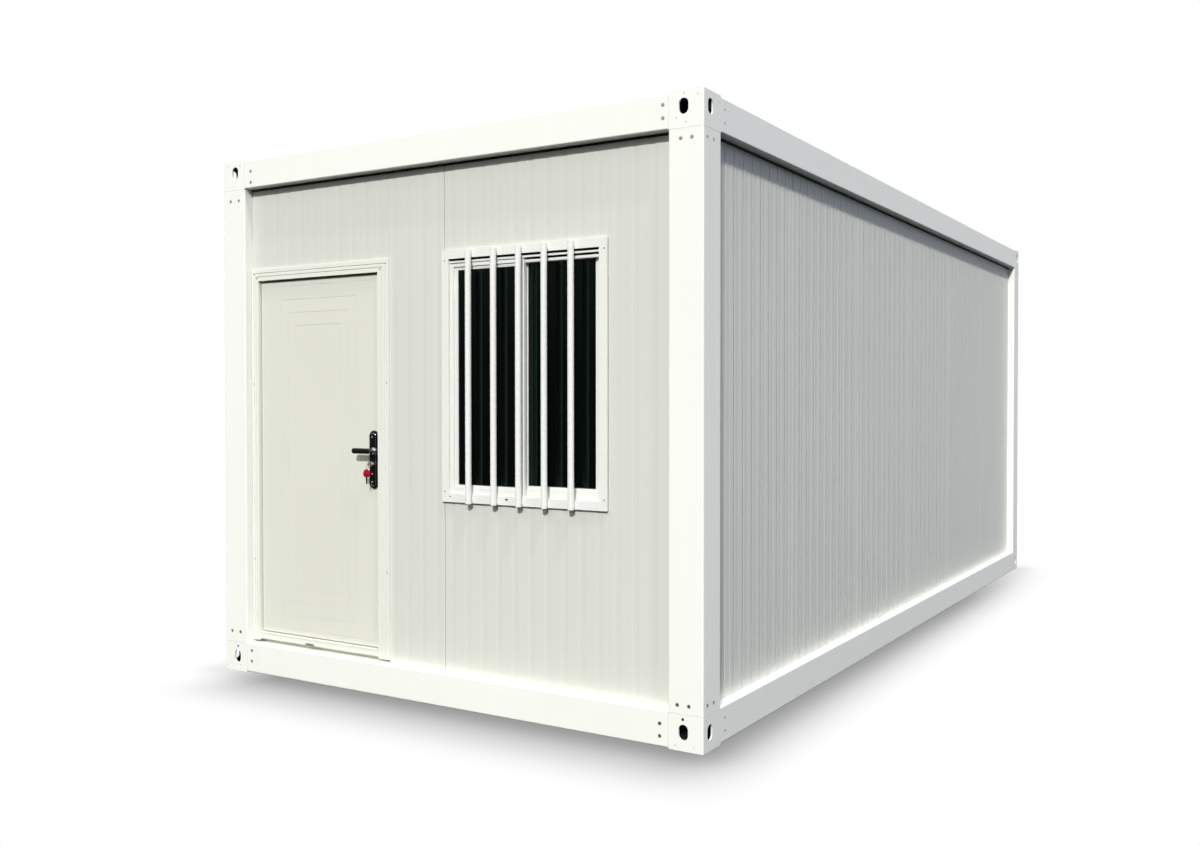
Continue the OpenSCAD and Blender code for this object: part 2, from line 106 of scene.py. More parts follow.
def mixc(nt, fac, a, b, blend="MIX"):
    m = nt.nodes.new("ShaderNodeMix")
    m.data_type = "RGBA"
    m.blend_type = blend
    fa = [s for s in m.inputs if s.name == "Factor" and s.type == "VALUE"][0]
    ca = [s for s in m.inputs if s.name == "A" and s.type == "RGBA"][0]
    cb = [s for s in m.inputs if s.name == "B" and s.type == "RGBA"][0]
    for sock, v in ((fa, fac), (ca, a), (cb, b)):
        if isinstance(v, (int, float)):
            sock.default_value = v
        elif isinstance(v, tuple):
            sock.default_value = (*v, 1) if len(v) == 3 else v
        else:
            nt.links.new(v, sock)
    return [s for s in m.outputs if s.type == "RGBA"][0]


def mathn(nt, op, a, b=None):
    m = nt.nodes.new("ShaderNodeMath")
    m.operation = op
    for i, v in enumerate((a, b)):
        if v is None:
            continue
        if isinstance(v, (int, float)):
            m.inputs[i].default_value = v
        else:
            nt.links.new(v, m.inputs[i])
    return m.outputs[0]


def bump(nt, bsdf, height, strength, dist, prev=None):
    b = nt.nodes.new("ShaderNodeBump")
    b.inputs["Strength"].default_value = strength
    b.inputs["Distance"].default_value = dist
    nt.links.new(height, b.inputs["Height"])
    if prev is not None:
        nt.links.new(prev, b.inputs["Normal"])
    nt.links.new(b.outputs[0], bsdf.inputs["Normal"])
    return b.outputs[0]


def paint(name, base, rough=0.34, clouds=0.03, peel=0.0003, wave=0.0, dust=0.05,
          streak=0.02, spec=0.5, inside=None, crease=None):
    """Sprayed or coil-coated paint: faint clouding, run-down streaks, dust
    towards the ground, orange peel and long waves in the sheet."""
    m, nt, b = new_mat(name)
    v = coords(nt)
    vs = coords(nt, (14, 14, 0.7))
    cloud = noise(nt, v, 1.3, 4)
    dark = tuple(c * (1 - clouds) for c in base)
    lite = tuple(min(1, c * (1 + clouds * 0.5)) for c in base)
    col = ramp(nt, cloud, [(0.32, dark), (0.68, lite)])
    st = noise(nt, vs, 1.0, 2, 0.45)
    grime = tuple(c * k for c, k in zip(base, (0.86, 0.855, 0.82)))
    col = mixc(nt, span(nt, st, 0.40, 0.75, 0.0, streak * 6), col, grime)
    # dust thrown up from the ground, broken up by noise
    tc = nt.nodes.new("ShaderNodeTexCoord")
    sep = nt.nodes.new("ShaderNodeSeparateXYZ")
    nt.links.new(tc.outputs["Object"], sep.inputs[0])
    low = span(nt, sep.outputs[2], 0.0, 0.42, 1.0, 0.0)
    brk = span(nt, noise(nt, v, 9.0, 6, 0.65), 0.35, 0.75, 0.25, 1.0)
    col = mixc(nt, mathn(nt, "MULTIPLY", mathn(nt, "MULTIPLY", low, brk), dust * 3.0),
               col, tuple(c * k for c, k in zip(base, (0.74, 0.71, 0.64))))
    if inside is not None:
        col = inside(nt, tc, sep, col)
    nt.links.new(col, b.inputs["Base Color"])
    rn = noise(nt, v, 5.0, 1.5)
    nt.links.new(span(nt, rn, 0.1, 0.9, rough - 0.012, rough + 0.022), b.inputs["Roughness"])
    b.inputs["Specular IOR Level"].default_value = spec
    n1 = bump(nt, b, noise(nt, v, 230.0, 1), 0.10, peel)
    if wave:
        n1 = bump(nt, b, noise(nt, coords(nt, (1, 1, 0.35)), 2.6, 1.5), 1.0, wave, n1)
    if crease:
        # fine pressed crease between the flutes; it runs up the long walls
        # only, as its height depends on the length coordinate alone
        at, pitch, half, deep = crease
        u = mathn(nt, "FRACT", mathn(nt, "DIVIDE", mathn(nt, "ADD", sep.outputs[1], 20 * pitch + pitch / 2 - at), pitch))
        away = mathn(nt, "ABSOLUTE", mathn(nt, "SUBTRACT", u, 0.5))
        bump(nt, b, span(nt, away, 0.0, half / pitch, 0.0, 1.0), 1.0, deep, n1)
    return m


def metal(name, base, rough, scratch=0.12, spangle=False):
    m, nt, b = new_mat(name)
    v = coords(nt)
    b.inputs["Metallic"].default_value = 1.0
    if spangle:
        vo = nt.nodes.new("ShaderNodeTexVoronoi")
        vo.inputs["Scale"].default_value = 95.0
        nt.links.new(v, vo.inputs["Vector"])
        sp = nt.nodes.new("ShaderNodeSeparateColor")
        nt.links.new(vo.outputs["Color"], sp.inputs[0])
        f = sp.outputs[0]
        col = ramp(nt, f, [(0.0, tuple(c * 0.8 for c in base)), (1.0, base)])
        nt.links.new(span(nt, f, 0, 1, rough - 0.07, rough + 0.12), b.inputs["Roughness"])
    else:
        f = noise(nt, coords(nt, (60, 60, 900)), 1.0, 3)
        col = ramp(nt, noise(nt, v, 40.0, 4),
                   [(0.35, tuple(c * 0.86 for c in base)), (0.7, base)])
        nt.links.new(span(nt, f, 0.3, 0.7, rough - 0.04, rough + 0.08), b.inputs["Roughness"])
    nt.links.new(col, b.inputs["Base Color"])
    bump(nt, b, f, scratch, 0.00015)
    return m


def plastic(name, base, rough, grain=0.0001, var=0.03, spec=0.5, freq=900.0):
    m, nt, b = new_mat(name)
    v = coords(nt)
    col = ramp(nt, noise(nt, v, 7.0, 4),
               [(0.3, tuple(c * (1 - var) for c in base)), (0.7, tuple(min(1, c * (1 + var)) for c in base))])
    nt.links.new(col, b.inputs["Base Color"])
    nt.links.new(span(nt, noise(nt, v, 55.0, 4), 0.3, 0.7, max(0.02, rough - 0.04), rough + 0.06),
                 b.inputs["Roughness"])
    b.inputs["Specular IOR Level"].default_value = spec
    bump(nt, b, noise(nt, v, freq, 2), 0.3, grain)
    return m


def between(nt, x, lo, hi):
    return mathn(nt, "MULTIPLY", mathn(nt, "GREATER_THAN", x, lo), mathn(nt, "LESS_THAN", x, hi))


def fitting_inside_shade(nt, tc, sep, col):
    """Painted shade inside the hollow corner fittings: near black, with painted light that makes the floor plates of
    the lower fittings paler towards the bottom."""
    ax = mathn(nt, "ABSOLUTE", sep.outputs[0])
    ay = mathn(nt, "ABSOLUTE", sep.outputs[1])
    z = sep.outputs[2]
    t = 0.0078
    f = mathn(nt, "MULTIPLY", between(nt, ax, HX - PX + t, HX - t), between(nt, ay, HY - PY + t, HY - t))
    zz = mathn(nt, "ADD", between(nt, z, t, CAST - t), between(nt, z, CAPZ + t, TOP - t))
    f = mathn(nt, "MULTIPLY", f, zz)
    inside_shade = ramp(nt, span(nt, z, 0.008, 0.075, 0.0, 1.0), [(0.0, (0.30, 0.30, 0.285)), (0.5, (0.085, 0.085, 0.082)),
                                                        (1.0, (0.014, 0.014, 0.014))])
    return mixc(nt, f, col, inside_shade)


B = {n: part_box(n) for n in NODES}
HX = B["casting_front_right_low"][1][0]            # half width
HY = -B["casting_front_right_low"][0][1]           # half length
TOP = B["casting_front_right_high"][1][2]
CAST = B["casting_front_right_low"][1][2]          # height of a fitting
CAPZ = B["casting_front_right_high"][0][2]
PX = HX - B["post_front_right"][0][0]              # post width
PY = B["post_front_right"][1][1] + HY              # post depth

M = {}
M["frame_paint"] = paint("frame_paint", (0.905, 0.908, 0.850), 0.33, 0.012, 0.0002, 0.0006, 0.03, 0.012,
                         inside=fitting_inside_shade)
FLUTE = 0.0948                                     # spacing of the flutes, counted from the far post
M["wall_panel"] = paint("wall_panel", (0.672, 0.676, 0.618), 0.31, 0.014, 0.00015, 0.0011, 0.02, 0.014,
                        crease=(HY - PY + 0.006, FLUTE, 0.0050, 0.0042))
M["galvanised_steel"] = metal("galvanised_steel", (0.56, 0.58, 0.59), 0.38, 0.05, True)
M["door_frame_paint"] = paint("door_frame_paint", (0.792, 0.796, 0.722), 0.30, 0.012, 0.0002, 0.0003, 0.03, 0.010)
M["door_paint"] = paint("door_paint", (0.722, 0.726, 0.640), 0.30, 0.014, 0.0002, 0.0007, 0.03, 0.014)
M["roof_sheet"] = paint("roof_sheet", (0.44, 0.455, 0.45), 0.42, 0.05, 0.0002, 0.0010, 0.0, 0.04)
M["ceiling_sheet"] = paint("ceiling_sheet", (0.78, 0.79, 0.76), 0.45, 0.02, 0.0002, 0.0006, 0.0, 0.01)
M["lock_black"] = plastic("lock_black", (0.0055, 0.0055, 0.0055), 0.17, 0.00006, 0.25)
# near-black lever finish; on the key blade it is painted shade on bare steel
M["lever_metal"] = plastic("lever_metal", (0.0075, 0.0078, 0.0070), 0.22, 0.00006, 0.25)
M["lock_chrome"] = metal("lock_chrome", (0.78, 0.78, 0.77), 0.16, 0.05)
M["zinc_bolts"] = metal("zinc_bolts", (0.56, 0.56, 0.54), 0.40, 0.10)
M["key_red"] = plastic("key_red", (0.34, 0.0035, 0.010), 0.26, 0.00006, 0.08)
M["bar_paint"] = plastic("bar_paint", (0.82, 0.822, 0.785), 0.26, 0.0001, 0.012)
M["window_plastic"] = plastic("window_plastic", (0.80, 0.806, 0.765), 0.30, 0.00008, 0.010)
# black rubber; on the strip under the roof beams and behind the window head slot it is painted shade
M["rubber_seal"] = plastic("rubber_seal", (0.018, 0.018, 0.018), 0.62, 0.0003, 0.2, 0.3)
# near-black painted shade for the floors of holes, bores and slots
M["painted_gap_shade"] = plastic("painted_gap_shade", (0.045, 0.046, 0.043), 0.7, 0.0002, 0.2, 0.2)


def floor_covering():
    m, nt, b = new_mat("floor_covering")
    v = coords(nt)
    f1 = noise(nt, v, 240.0, 2)
    col = ramp(nt, f1, [(0.36, (0.135, 0.120, 0.100)), (0.50, (0.215, 0.200, 0.172)),
                        (0.64, (0.300, 0.285, 0.255))])
    col = mixc(nt, span(nt, noise(nt, v, 3.0, 4), 0.4, 0.75, 0.0, 0.3), col, (0.16, 0.145, 0.125))
    nt.links.new(col, b.inputs["Base Color"])
    b.inputs["Roughness"].default_value = 0.55
    bump(nt, b, f1, 0.25, 0.0003)
    return m


def glass():
    m, nt, b = new_mat("window_glass")
    v = coords(nt)
    col = ramp(nt, noise(nt, v, 2.0, 3), [(0.3, (0.0007, 0.0012, 0.0009)), (0.7, (0.0012, 0.0022, 0.0018))])
    nt.links.new(col, b.inputs["Base Color"])
    # thin dust film that only shows as a slight change of gloss
    nt.links.new(span(nt, noise(nt, v, 14.0, 6), 0.35, 0.8, 0.015, 0.055), b.inputs["Roughness"])
    b.inputs["IOR"].default_value = 1.5
    b.inputs["Specular IOR Level"].default_value = 0.37
    b.inputs["Specular Tint"].default_value = (0.62, 1.0, 0.90, 1)
    bump(nt, b, noise(nt, v, 1.6, 1), 0.5, 0.0006)
    return m


def sealer_and_bolt_shade_material():
    """Thin line of joint sealer between two painted parts; the same grey also makes the ring of painted shade round the
    frame bolts' heads.
    """
    m, nt, b = new_mat("joint_sealer_and_bolt_shade")
    v = coords(nt)
    col = ramp(nt, noise(nt, v, 60.0, 4), [(0.3, (0.56, 0.56, 0.52)), (0.7, (0.66, 0.66, 0.61))])
    nt.links.new(col, b.inputs["Base Color"])
    b.inputs["Roughness"].default_value = 0.6
    bump(nt, b, noise(nt, v, 300.0, 3), 0.5, 0.0004)
    return m


M["floor_covering"] = floor_covering()
M["window_glass"] = glass()
M["joint_sealer_and_bolt_shade"] = sealer_and_bolt_shade_material()

SLOT = {s["node"]: s["material_slot"] for s in frame["record"]["subparts"]}
for node, ob in NODES.items():
    ob.data.materials.clear()
    ob.data.materials.append(M[SLOT[node]])


# ---------------------------------------------------------------- mesh tools

ALL = {}


def add(name, bm, mat, body="root", smooth=35.0, mats=None):
    bmesh.ops.recalc_face_normals(bm, faces=bm.faces)
    me = bpy.data.meshes.new(name)
    bm.to_mesh(me)
    bm.free()
    for mm in (mats or [mat]):
        me.materials.append(M[mm])
    ob = bpy.data.objects.new(name, me)
    scene.collection.objects.link(ob)
    if smooth:
        me.polygons.foreach_set("use_smooth", [True] * len(me.polygons))
        me.set_sharp_from_angle(angle=math.radians(smooth))
    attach(ob, body)
    ALL[name] = ob
    return ob


def bm_box(bm, lo, hi, bev=0.0, seg=2, mi=0):
    verts = [bm.verts.new((x, y, z)) for x in (lo[0], hi[0]) for y in (lo[1], hi[1]) for z in (lo[2], hi[2])]
    idx = [(0, 1, 3, 2), (4, 6, 7, 5), (0, 4, 5, 1), (2, 3, 7, 6), (0, 2, 6, 4), (1, 5, 7, 3)]
    fs = [bm.faces.new([verts[i] for i in f]) for f in idx]
    for f in fs:
        f.material_index = mi
    if bev:
        es = list({e for f in fs for e in f.edges})
        r = bmesh.ops.bevel(bm, geom=es, offset=bev, segments=seg, affect="EDGES", profile=0.5)
        for f in r["faces"]:
            f.material_index = mi


def basis(axis):
    a = Vector(axis).normalized()
    u = Vector((0, 0, 1)) if abs(a.z) < 0.9 else Vector((1, 0, 0))
    u = (u - a * u.dot(a)).normalized()
    return a, u, a.cross(u)


def bm_lathe(bm, prof, origin, axis, n=32, mi=0, close=False):
    """prof: (radius, distance along axis) from one end to the other."""
    a, u, w = basis(axis)
    o = Vector(origin)
    rings = []
    for r, h in prof:
        if r < 1e-7:
            rings.append([bm.verts.new(o + a * h)])
        else:
            rings.append([bm.verts.new(o + a * h + (u * math.cos(t) + w * math.sin(t)) * r)
                          for t in (2 * math.pi * i / n for i in range(n))])
    pairs = list(zip(rings, rings[1:]))
    if close:
        pairs.append((rings[-1], rings[0]))
    for A, B in pairs:
        for i in range(n):
            j = (i + 1) % n
            if len(A) == 1 and len(B) == 1:
                continue
            if len(A) == 1:
                f = bm.faces.new((A[0], B[i], B[j]))
            elif len(B) == 1:
                f = bm.faces.new((A[i], A[j], B[0]))
            else:
                f = bm.faces.new((A[i], A[j], B[j], B[i]))
            f.material_index = mi


def stadium(w, h, n=16, cx=0.0, cz=0.0):
    """Upright stadium outline, w wide and h high in all."""
    r = w / 2
    pts = []
    for i in range(n + 1):
        t = math.pi * i / n
        pts.append((cx + r * math.cos(t), cz + h / 2 - r + r * math.sin(t)))
    for i in range(n + 1):
        t = math.pi + math.pi * i / n
        pts.append((cx + r * math.cos(t), cz - h / 2 + r + r * math.sin(t)))
    return pts


def bm_stack(bm, layers, mi=0, cap0=True, cap1=True):
    """layers: list of (points in XZ, y). Same number of points in each."""
    rings = [[bm.verts.new((x, y, z)) for x, z in pts] for pts, y in layers]
    n = len(rings[0])
    for A, B in zip(rings, rings[1:]):
        for i in range(n):
            j = (i + 1) % n
            f = bm.faces.new((A[i], A[j], B[j], B[i]))
            f.material_index = mi
    if cap0:
        bm.faces.new(rings[0]).material_index = mi
    if cap1:
        bm.faces.new(rings[-1]).material_index = mi


def bm_tube(bm, pts, r, n=12, mi=0, caps=True):
    pts = [Vector(p) for p in pts]
    rings = []
    t0 = (pts[1] - pts[0]).normalized()
    a, u, w = basis(t0)
    for i, p in enumerate(pts):
        if i == 0:
            t = (pts[1] - pts[0]).normalized()
        elif i == len(pts) - 1:
            t = (pts[-1] - pts[-2]).normalized()
        else:
            t = ((pts[i + 1] - p).normalized() + (p - pts[i - 1]).normalized()).normalized()
        u = (u - t * u.dot(t)).normalized()
        w = t.cross(u)
        rr = r[i] if isinstance(r, (list, tuple)) else r
        rings.append([bm.verts.new(p + (u * math.cos(k) + w * math.sin(k)) * rr)
                      for k in (2 * math.pi * q / n for q in range(n))])
    for A, B in zip(rings, rings[1:]):
        for i in range(n):
            j = (i + 1) % n
            bm.faces.new((A[i], A[j], B[j], B[i])).material_index = mi
    if caps:
        bm.faces.new(rings[0]).material_index = mi
        bm.faces.new(rings[-1]).material_index = mi


def bm_ring_frame(bm, outer, inner, y0, y1, mi=0):
    """Rectangular ring; outer and inner are (x0, x1, z0, z1)."""
    def loop(b, y):
        return [bm.verts.new(p) for p in ((b[0], y, b[2]), (b[1], y, b[2]), (b[1], y, b[3]), (b[0], y, b[3]))]
    A, B, C, D = loop(outer, y0), loop(inner, y0), loop(outer, y1), loop(inner, y1)
    for i in range(4):
        j = (i + 1) % 4
        for q in ((A[i], A[j], B[j], B[i]), (C[i], D[i], D[j], C[j]), (A[i], C[i], C[j], A[j]), (B[i], B[j], D[j], D[i])):
            bm.faces.new(q).material_index = mi



# ---------------------------------------------------------------- frame bolts

def bolt(bm, p, axis, r=0.0085):
    """Countersunk bolt, almost flush: a thin ring round a slightly domed bare head with a hexagon socket; on the frame
    bolts the ring is grey painted shade round the head."""
    a = Vector(axis)
    bm_lathe(bm, [(r * 1.05, 0.0), (r * 1.05, 0.0003), (r * 1.26, 0.0003), (r * 1.34, -0.0004)], p, a, 24, 1)
    bm_lathe(bm, [(r * 1.06, -0.001), (r * 1.02, 0.0003), (r * 0.80, 0.00045), (r * 0.50, 0.0005),
                  (r * 0.47, 0.0002), (0.0, 0.0001)], p, a, 24, 0)


bolts, plugs = bmesh.new(), bmesh.new()


def face_point(sx, sy, side, t, z):
    """Point on the frame's outer face: side 'f' is the short wall's face,
    's' the long wall's; t is the distance from the upright corner edge."""
    if side == "f":
        return (sx * (HX - t), sy * HY, z), (0, sy, 0)
    return (sx * HX, sy * (HY - t), z), (sx, 0, 0)


def put(sx, sy, side, spots, r=0.0085, plug=False):
    for t, z in spots:
        p, a = face_point(sx, sy, side, t, z)
        bolt(plugs if plug else bolts, p, a, r)


for sx in (1, -1):
    for sy in (-1, 1):
        right_front = sx > 0
        put(sx, sy, "f", [(0.110, 2.599), (0.056, 2.599), (0.125, 0.195), (0.069, 0.195)] if right_front
            else [(0.124, 2.583), (0.058, 2.583), (0.118, 0.216), (0.052, 0.216)], 0.0074)
        put(sx, sy, "f", [(0.197, 2.751), (0.197, 2.694), (0.212, 0.103), (0.212, 0.049)] if right_front
            else [(0.220, 2.734), (0.220, 2.674), (0.209, 0.122), (0.209, 0.064)], 0.0074)
        put(sx, sy, "s", [(0.034, 2.600), (0.092, 2.600), (0.040, 0.200), (0.096, 0.200)], 0.0066)
        put(sx, sy, "s", [(0.196, 2.748), (0.196, 2.690), (0.204, 0.108), (0.204, 0.052)], 0.0050)
        # small plug welds round the oval holes
        put(sx, sy, "f", [(0.095, 2.787), (0.028, 2.776), (0.130, 2.686), (0.085, 2.665)] if right_front
            else [(0.034, 2.775), (0.135, 2.770), (0.082, 2.664)], 0.0042, True)
        put(sx, sy, "f", [(0.134, 0.021), (0.045, 0.026)] if right_front
            else [(0.082, 0.157 - 0.006), (0.119, 0.036), (0.015, 0.023)], 0.0040, True)
        put(sx, sy, "s", [(0.022, 2.783), (0.132, 2.770), (0.132, 0.026), (0.024, 0.140)], 0.0040, True)
# the grey rings round the bolt heads are painted shade
add("frame_bolts", bolts, "zinc_bolts", mats=["zinc_bolts", "joint_sealer_and_bolt_shade"])
add("plug_welds", plugs, "frame_paint", mats=["joint_sealer_and_bolt_shade", "frame_paint"])

# round hole over the oval hole of each lower fitting: a shallow bore whose dark floor is painted shade
holes = bmesh.new()
for sx in (1, -1):
    for sy in (-1, 1):
        p, a = face_point(sx, sy, "f", 0.098, 0.136)
        bm_lathe(holes, [(0.0066, 0.0002), (0.0066, 0.0004), (0.0082, 0.0004), (0.0088, -0.0002)], p, a, 24, 1)
        bm_lathe(holes, [(0.0066, 0.0003), (0.0064, 0.00015), (0.0, 0.0001)], p, a, 24, 0)
add("plug_hole_shade", holes, "painted_gap_shade", mats=["painted_gap_shade", "frame_paint"])


# ------------------------------------------- joint lines of posts and fittings

def corner_path(t0, t1, r=0.007, n=6):
    """Plan outline of a corner's outer faces, from t0 on the front face to
    t1 on the side face, for the corner at +X, -Y."""
    pts = [(HX - t0, -HY)]
    for i in range(n + 1):
        t = -math.pi / 2 + (math.pi / 2) * i / n
        pts.append((HX - r + r * math.cos(t), -HY + r + r * math.sin(t)))
    pts.append((HX, -HY + t1))
    return pts


def offset_out(pts, d):
    out = []
    for i, (x, y) in enumerate(pts):
        a = pts[max(i - 1, 0)]
        b = pts[min(i + 1, len(pts) - 1)]
        tx, ty = b[0] - a[0], b[1] - a[1]
        l = math.hypot(tx, ty)
        out.append((x + ty / l * d, y - tx / l * d))
    return out


seal = bmesh.new()
for sx in (1, -1):
    for sy in (-1, 1):
        for z, h in ((CAST, 0.0022), (CAPZ, 0.0022)):
            base = corner_path(PX, PY)
            prof = [(-0.0004, -h / 2), (0.00035, -h / 3), (0.0005, 0.0), (0.00035, h / 3), (-0.0004, h / 2)]
            rows = []
            for d, dz in prof:
                rows.append([seal.verts.new((sx * x, -sy * y, z + dz)) for x, y in offset_out(base, d)])
            for A_, B_ in zip(rows, rows[1:]):
                for i in range(len(A_) - 1):
                    seal.faces.new((A_[i], A_[i + 1], B_[i + 1], B_[i]))
            for k in (0, -1):
                seal.faces.new([row[k] for row in rows])
        # upright joints where the beams meet the fittings
        for z0, z1 in ((0.006, 0.160), (TOP - 0.154, TOP - 0.006)):
            p = (sx * (HX - PX), sy * HY)
            x0, x1 = p[0] - 0.0007, p[0] + 0.0007
            ys = sorted((p[1] - sy * 0.001, p[1] + sy * 0.0002))
            bm_box(seal, (x0, ys[0], z0), (x1, ys[1], z1))
            q = (sx * HX, sy * (HY - PY))
            xs = sorted((q[0] - sx * 0.001, q[0] + sx * 0.0002))
            bm_box(seal, (xs[0], q[1] - 0.0007, z0), (xs[1], q[1] + 0.0007, z1))
add("joint_lines", seal, "joint_sealer_and_bolt_shade")

# ground-flush weld that fills the groove between each fitting and its beams
fill = bmesh.new()
for sx in (1, -1):
    for sy in (-1, 1):
        for z0, z1 in ((0.0042, CAST - 0.0008), (CAPZ + 0.0008, TOP - 0.0042)):
            xs = sorted((sx * (HX - PX - 0.0012), sx * (HX - PX + 0.0086)))
            ys = sorted((sy * (HY - 0.00015), sy * (HY - 0.0066)))
            bm_box(fill, (xs[0], ys[0], z0), (xs[1], ys[1], z1))
            xs = sorted((sx * (HX - 0.00015), sx * (HX - 0.0066)))
            ys = sorted((sy * (HY - PY - 0.0012), sy * (HY - PY + 0.0086)))
            bm_box(fill, (xs[0], ys[0], z0), (xs[1], ys[1], z1))
bmesh.ops.bevel(fill, geom=list(fill.edges), offset=0.0004, segments=1, affect="EDGES")
add("fitting_weld_fill", fill, "frame_paint", smooth=0)

# black strip where the panels meet the underside of the roof beams: painted shade in the gap under the beams
WX = B["right_wall"][1][0]
WY = -B["front_wall_right"][0][1]
SOF = B["roof_beam_front"][0][2]
top_shade_bm = bmesh.new()
prof = [(0.0, 0.0), (0.0026, -0.0012), (0.0034, -0.0045), (0.0026, -0.0080), (0.0012, -0.0104), (0.0, -0.0110)]


def run(axis, fixed, sgn, a0, a1):
    ends = []
    for a_ in (a0, a1):
        row = []
        for d_, dz in prof:
            q = (a_, fixed + sgn * d_) if axis == "x" else (fixed + sgn * d_, a_)
            row.append(top_shade_bm.verts.new((q[0], q[1], SOF - 0.0003 + dz)))
        ends.append(row)
    for i in range(len(prof)):
        j = (i + 1) % len(prof)
        top_shade_bm.faces.new((ends[0][i], ends[1][i], ends[1][j], ends[0][j]))
    top_shade_bm.faces.new(ends[0])
    top_shade_bm.faces.new(ends[1])


for sgn in (1, -1):
    run("x", sgn * WY, sgn, -HX + PX + 0.001, HX - PX - 0.001)
    run("y", sgn * WX, sgn, -HY + PY + 0.001, HY - PY - 0.001)
add("panel_top_shade_strip", top_shade_bm, "rubber_seal")


# ---------------------------------------------------------------- window bars

wf0, wf1 = B["window_frame"]
bars = bmesh.new()
bore_shade_bm = bmesh.new()
bar_x = [wf0[0] + d for d in (0.1785, 0.3305, 0.4775, 0.6245, 0.7735)]
BAR_R = 0.0150
BAR_Y = wf0[1] - BAR_R - 0.0012
z0, z1 = wf0[2] - 0.002, wf1[2] - 0.006
for x in bar_x:
    bm_lathe(bars, [(BAR_R - 0.0022, 0.030), (BAR_R - 0.0022, 0.0004), (BAR_R - 0.0014, 0.0), (BAR_R - 0.0005, 0.0),
                    (BAR_R, 0.0006), (BAR_R, z1 - z0 - 0.0008), (BAR_R - 0.0006, z1 - z0),
                    (BAR_R - 0.0014, z1 - z0), (BAR_R - 0.0022, z1 - z0 - 0.0005),
                    (BAR_R - 0.0022, z1 - z0 - 0.030)], (x, BAR_Y, z0), (0, 0, 1), 32)
    # dark disc inside each open end: painted shade in the bore
    for zz in (z0 + 0.012, z1 - 0.012):
        bm_lathe(bore_shade_bm, [(0, 0), (BAR_R - 0.0021, 0.0), (BAR_R - 0.0021, 0.0006), (0, 0.0006)], (x, BAR_Y, zz), (0, 0, 1), 24)
add("window_bars", bars, "bar_paint")
add("bar_bore_shade", bore_shade_bm, "painted_gap_shade")
# short weld beads that hold each bar to the flange
weld = bmesh.new()
for x in bar_x:
    for zz in (wf0[2] + 0.016, wf1[2] - 0.026):
        for s in (-1, 1):
            pts = [(x + s * 0.0115, wf0[1] - 0.0016, zz - 0.009 + 0.0045 * i) for i in range(5)]
            bm_tube(weld, pts, [0.0012, 0.0021, 0.0023, 0.0021, 0.0012], 8)
add("bar_welds", weld, "bar_paint")

# ---------------------------------------------------------------- window details

gl0, gl1 = B["window_glass"]
ws0, ws1 = B["window_sashes"]


def split_boxes(ob):
    """Boxes of the separate solids of a CAD node, left to right."""
    me = ob.data
    parent = list(range(len(me.vertices)))

    def find(a):
        while parent[a] != a:
            parent[a] = parent[parent[a]]
            a = parent[a]
        return a
    key = {}
    for v in me.vertices:
        k = tuple(round(c, 5) for c in v.co)
        if k in key:
            parent[find(v.index)] = find(key[k])
        else:
            key[k] = v.index
    for p in me.polygons:
        vs = list(p.vertices)
        for q in vs[1:]:
            parent[find(q)] = find(vs[0])
    boxes = {}
    for v in me.vertices:
        r = find(v.index)
        lo, hi = boxes.setdefault(r, ([9.0] * 3, [-9.0] * 3))
        for i in range(3):
            lo[i] = min(lo[i], v.co[i])
            hi[i] = max(hi[i], v.co[i])
    return sorted(boxes.values(), key=lambda b: b[0][0] + b[0][2])


panes = split_boxes(NODES["window_glass"])
sashes = split_boxes(NODES["window_sashes"])
gask = bmesh.new()
for lo, hi in panes:
    w = 0.004
    bm_ring_frame(gask, (lo[0] - 0.0002, hi[0] + 0.0002, lo[2] - 0.0002, hi[2] + 0.0002),
                  (lo[0] + w, hi[0] - w, lo[2] + w, hi[2] - w), lo[1] - 0.0022, lo[1] + 0.0004)
    bm_ring_frame(gask, (lo[0] - 0.0002, hi[0] + 0.0002, lo[2] - 0.0002, hi[2] + 0.0002),
                  (lo[0] + w, hi[0] - w, lo[2] + w, hi[2] - w), hi[1] - 0.0004, hi[1] + 0.0022)
add("glass_gaskets", gask, "rubber_seal", smooth=0)

# sloping glazing beads between each sash's face and its pane
beads = bmesh.new()
for (glo, ghi), (slo, shi), deep in zip(panes, sashes, ((0.004, 0.003, 0.004, 0.003), (0.003, 0.003, 0.004, 0.002))):
    yf = slo[1] + 0.0062
    g = (glo[0] + 0.0003, ghi[0] - 0.0003, glo[2] + 0.0003, ghi[2] - 0.0003)
    e = (g[0] - 0.009, g[1] + 0.009, g[2] - 0.009, g[3] + 0.009)

    def loop(b, y):
        return [beads.verts.new(q) for q in ((b[0], y, b[2]), (b[1], y, b[2]), (b[1], y, b[3]), (b[0], y, b[3]))]
    A_, B_, C_ = loop(e, yf), loop((e[0] + 0.002, e[1] - 0.002, e[2] + 0.002, e[3] - 0.002), yf - 0.0022), loop(g, glo[1] + 0.0006)
    D_ = loop(g, glo[1] + 0.0030)
    for R0, R1 in ((A_, B_), (B_, C_), (C_, D_)):
        for i in range(4):
            j = (i + 1) % 4
            beads.faces.new((R0[i], R0[j], R1[j], R1[i]))
add("glazing_beads", beads, "window_plastic", smooth=0)

# drip bead across the top rail of the inner sash
bead = bmesh.new()
(slo, shi), gtop = sashes[1], panes[1][1][2]
by0 = max(slo[1] - 0.017, sashes[0][0][1] + 0.004)
bm_box(bead, (sashes[0][1][0] + 0.002, by0, gtop + 0.0012), (shi[0] - 0.003, slo[1] + 0.0004, gtop + 0.0145), 0.0010, 2)
add("sash_head_bead", bead, "window_plastic")

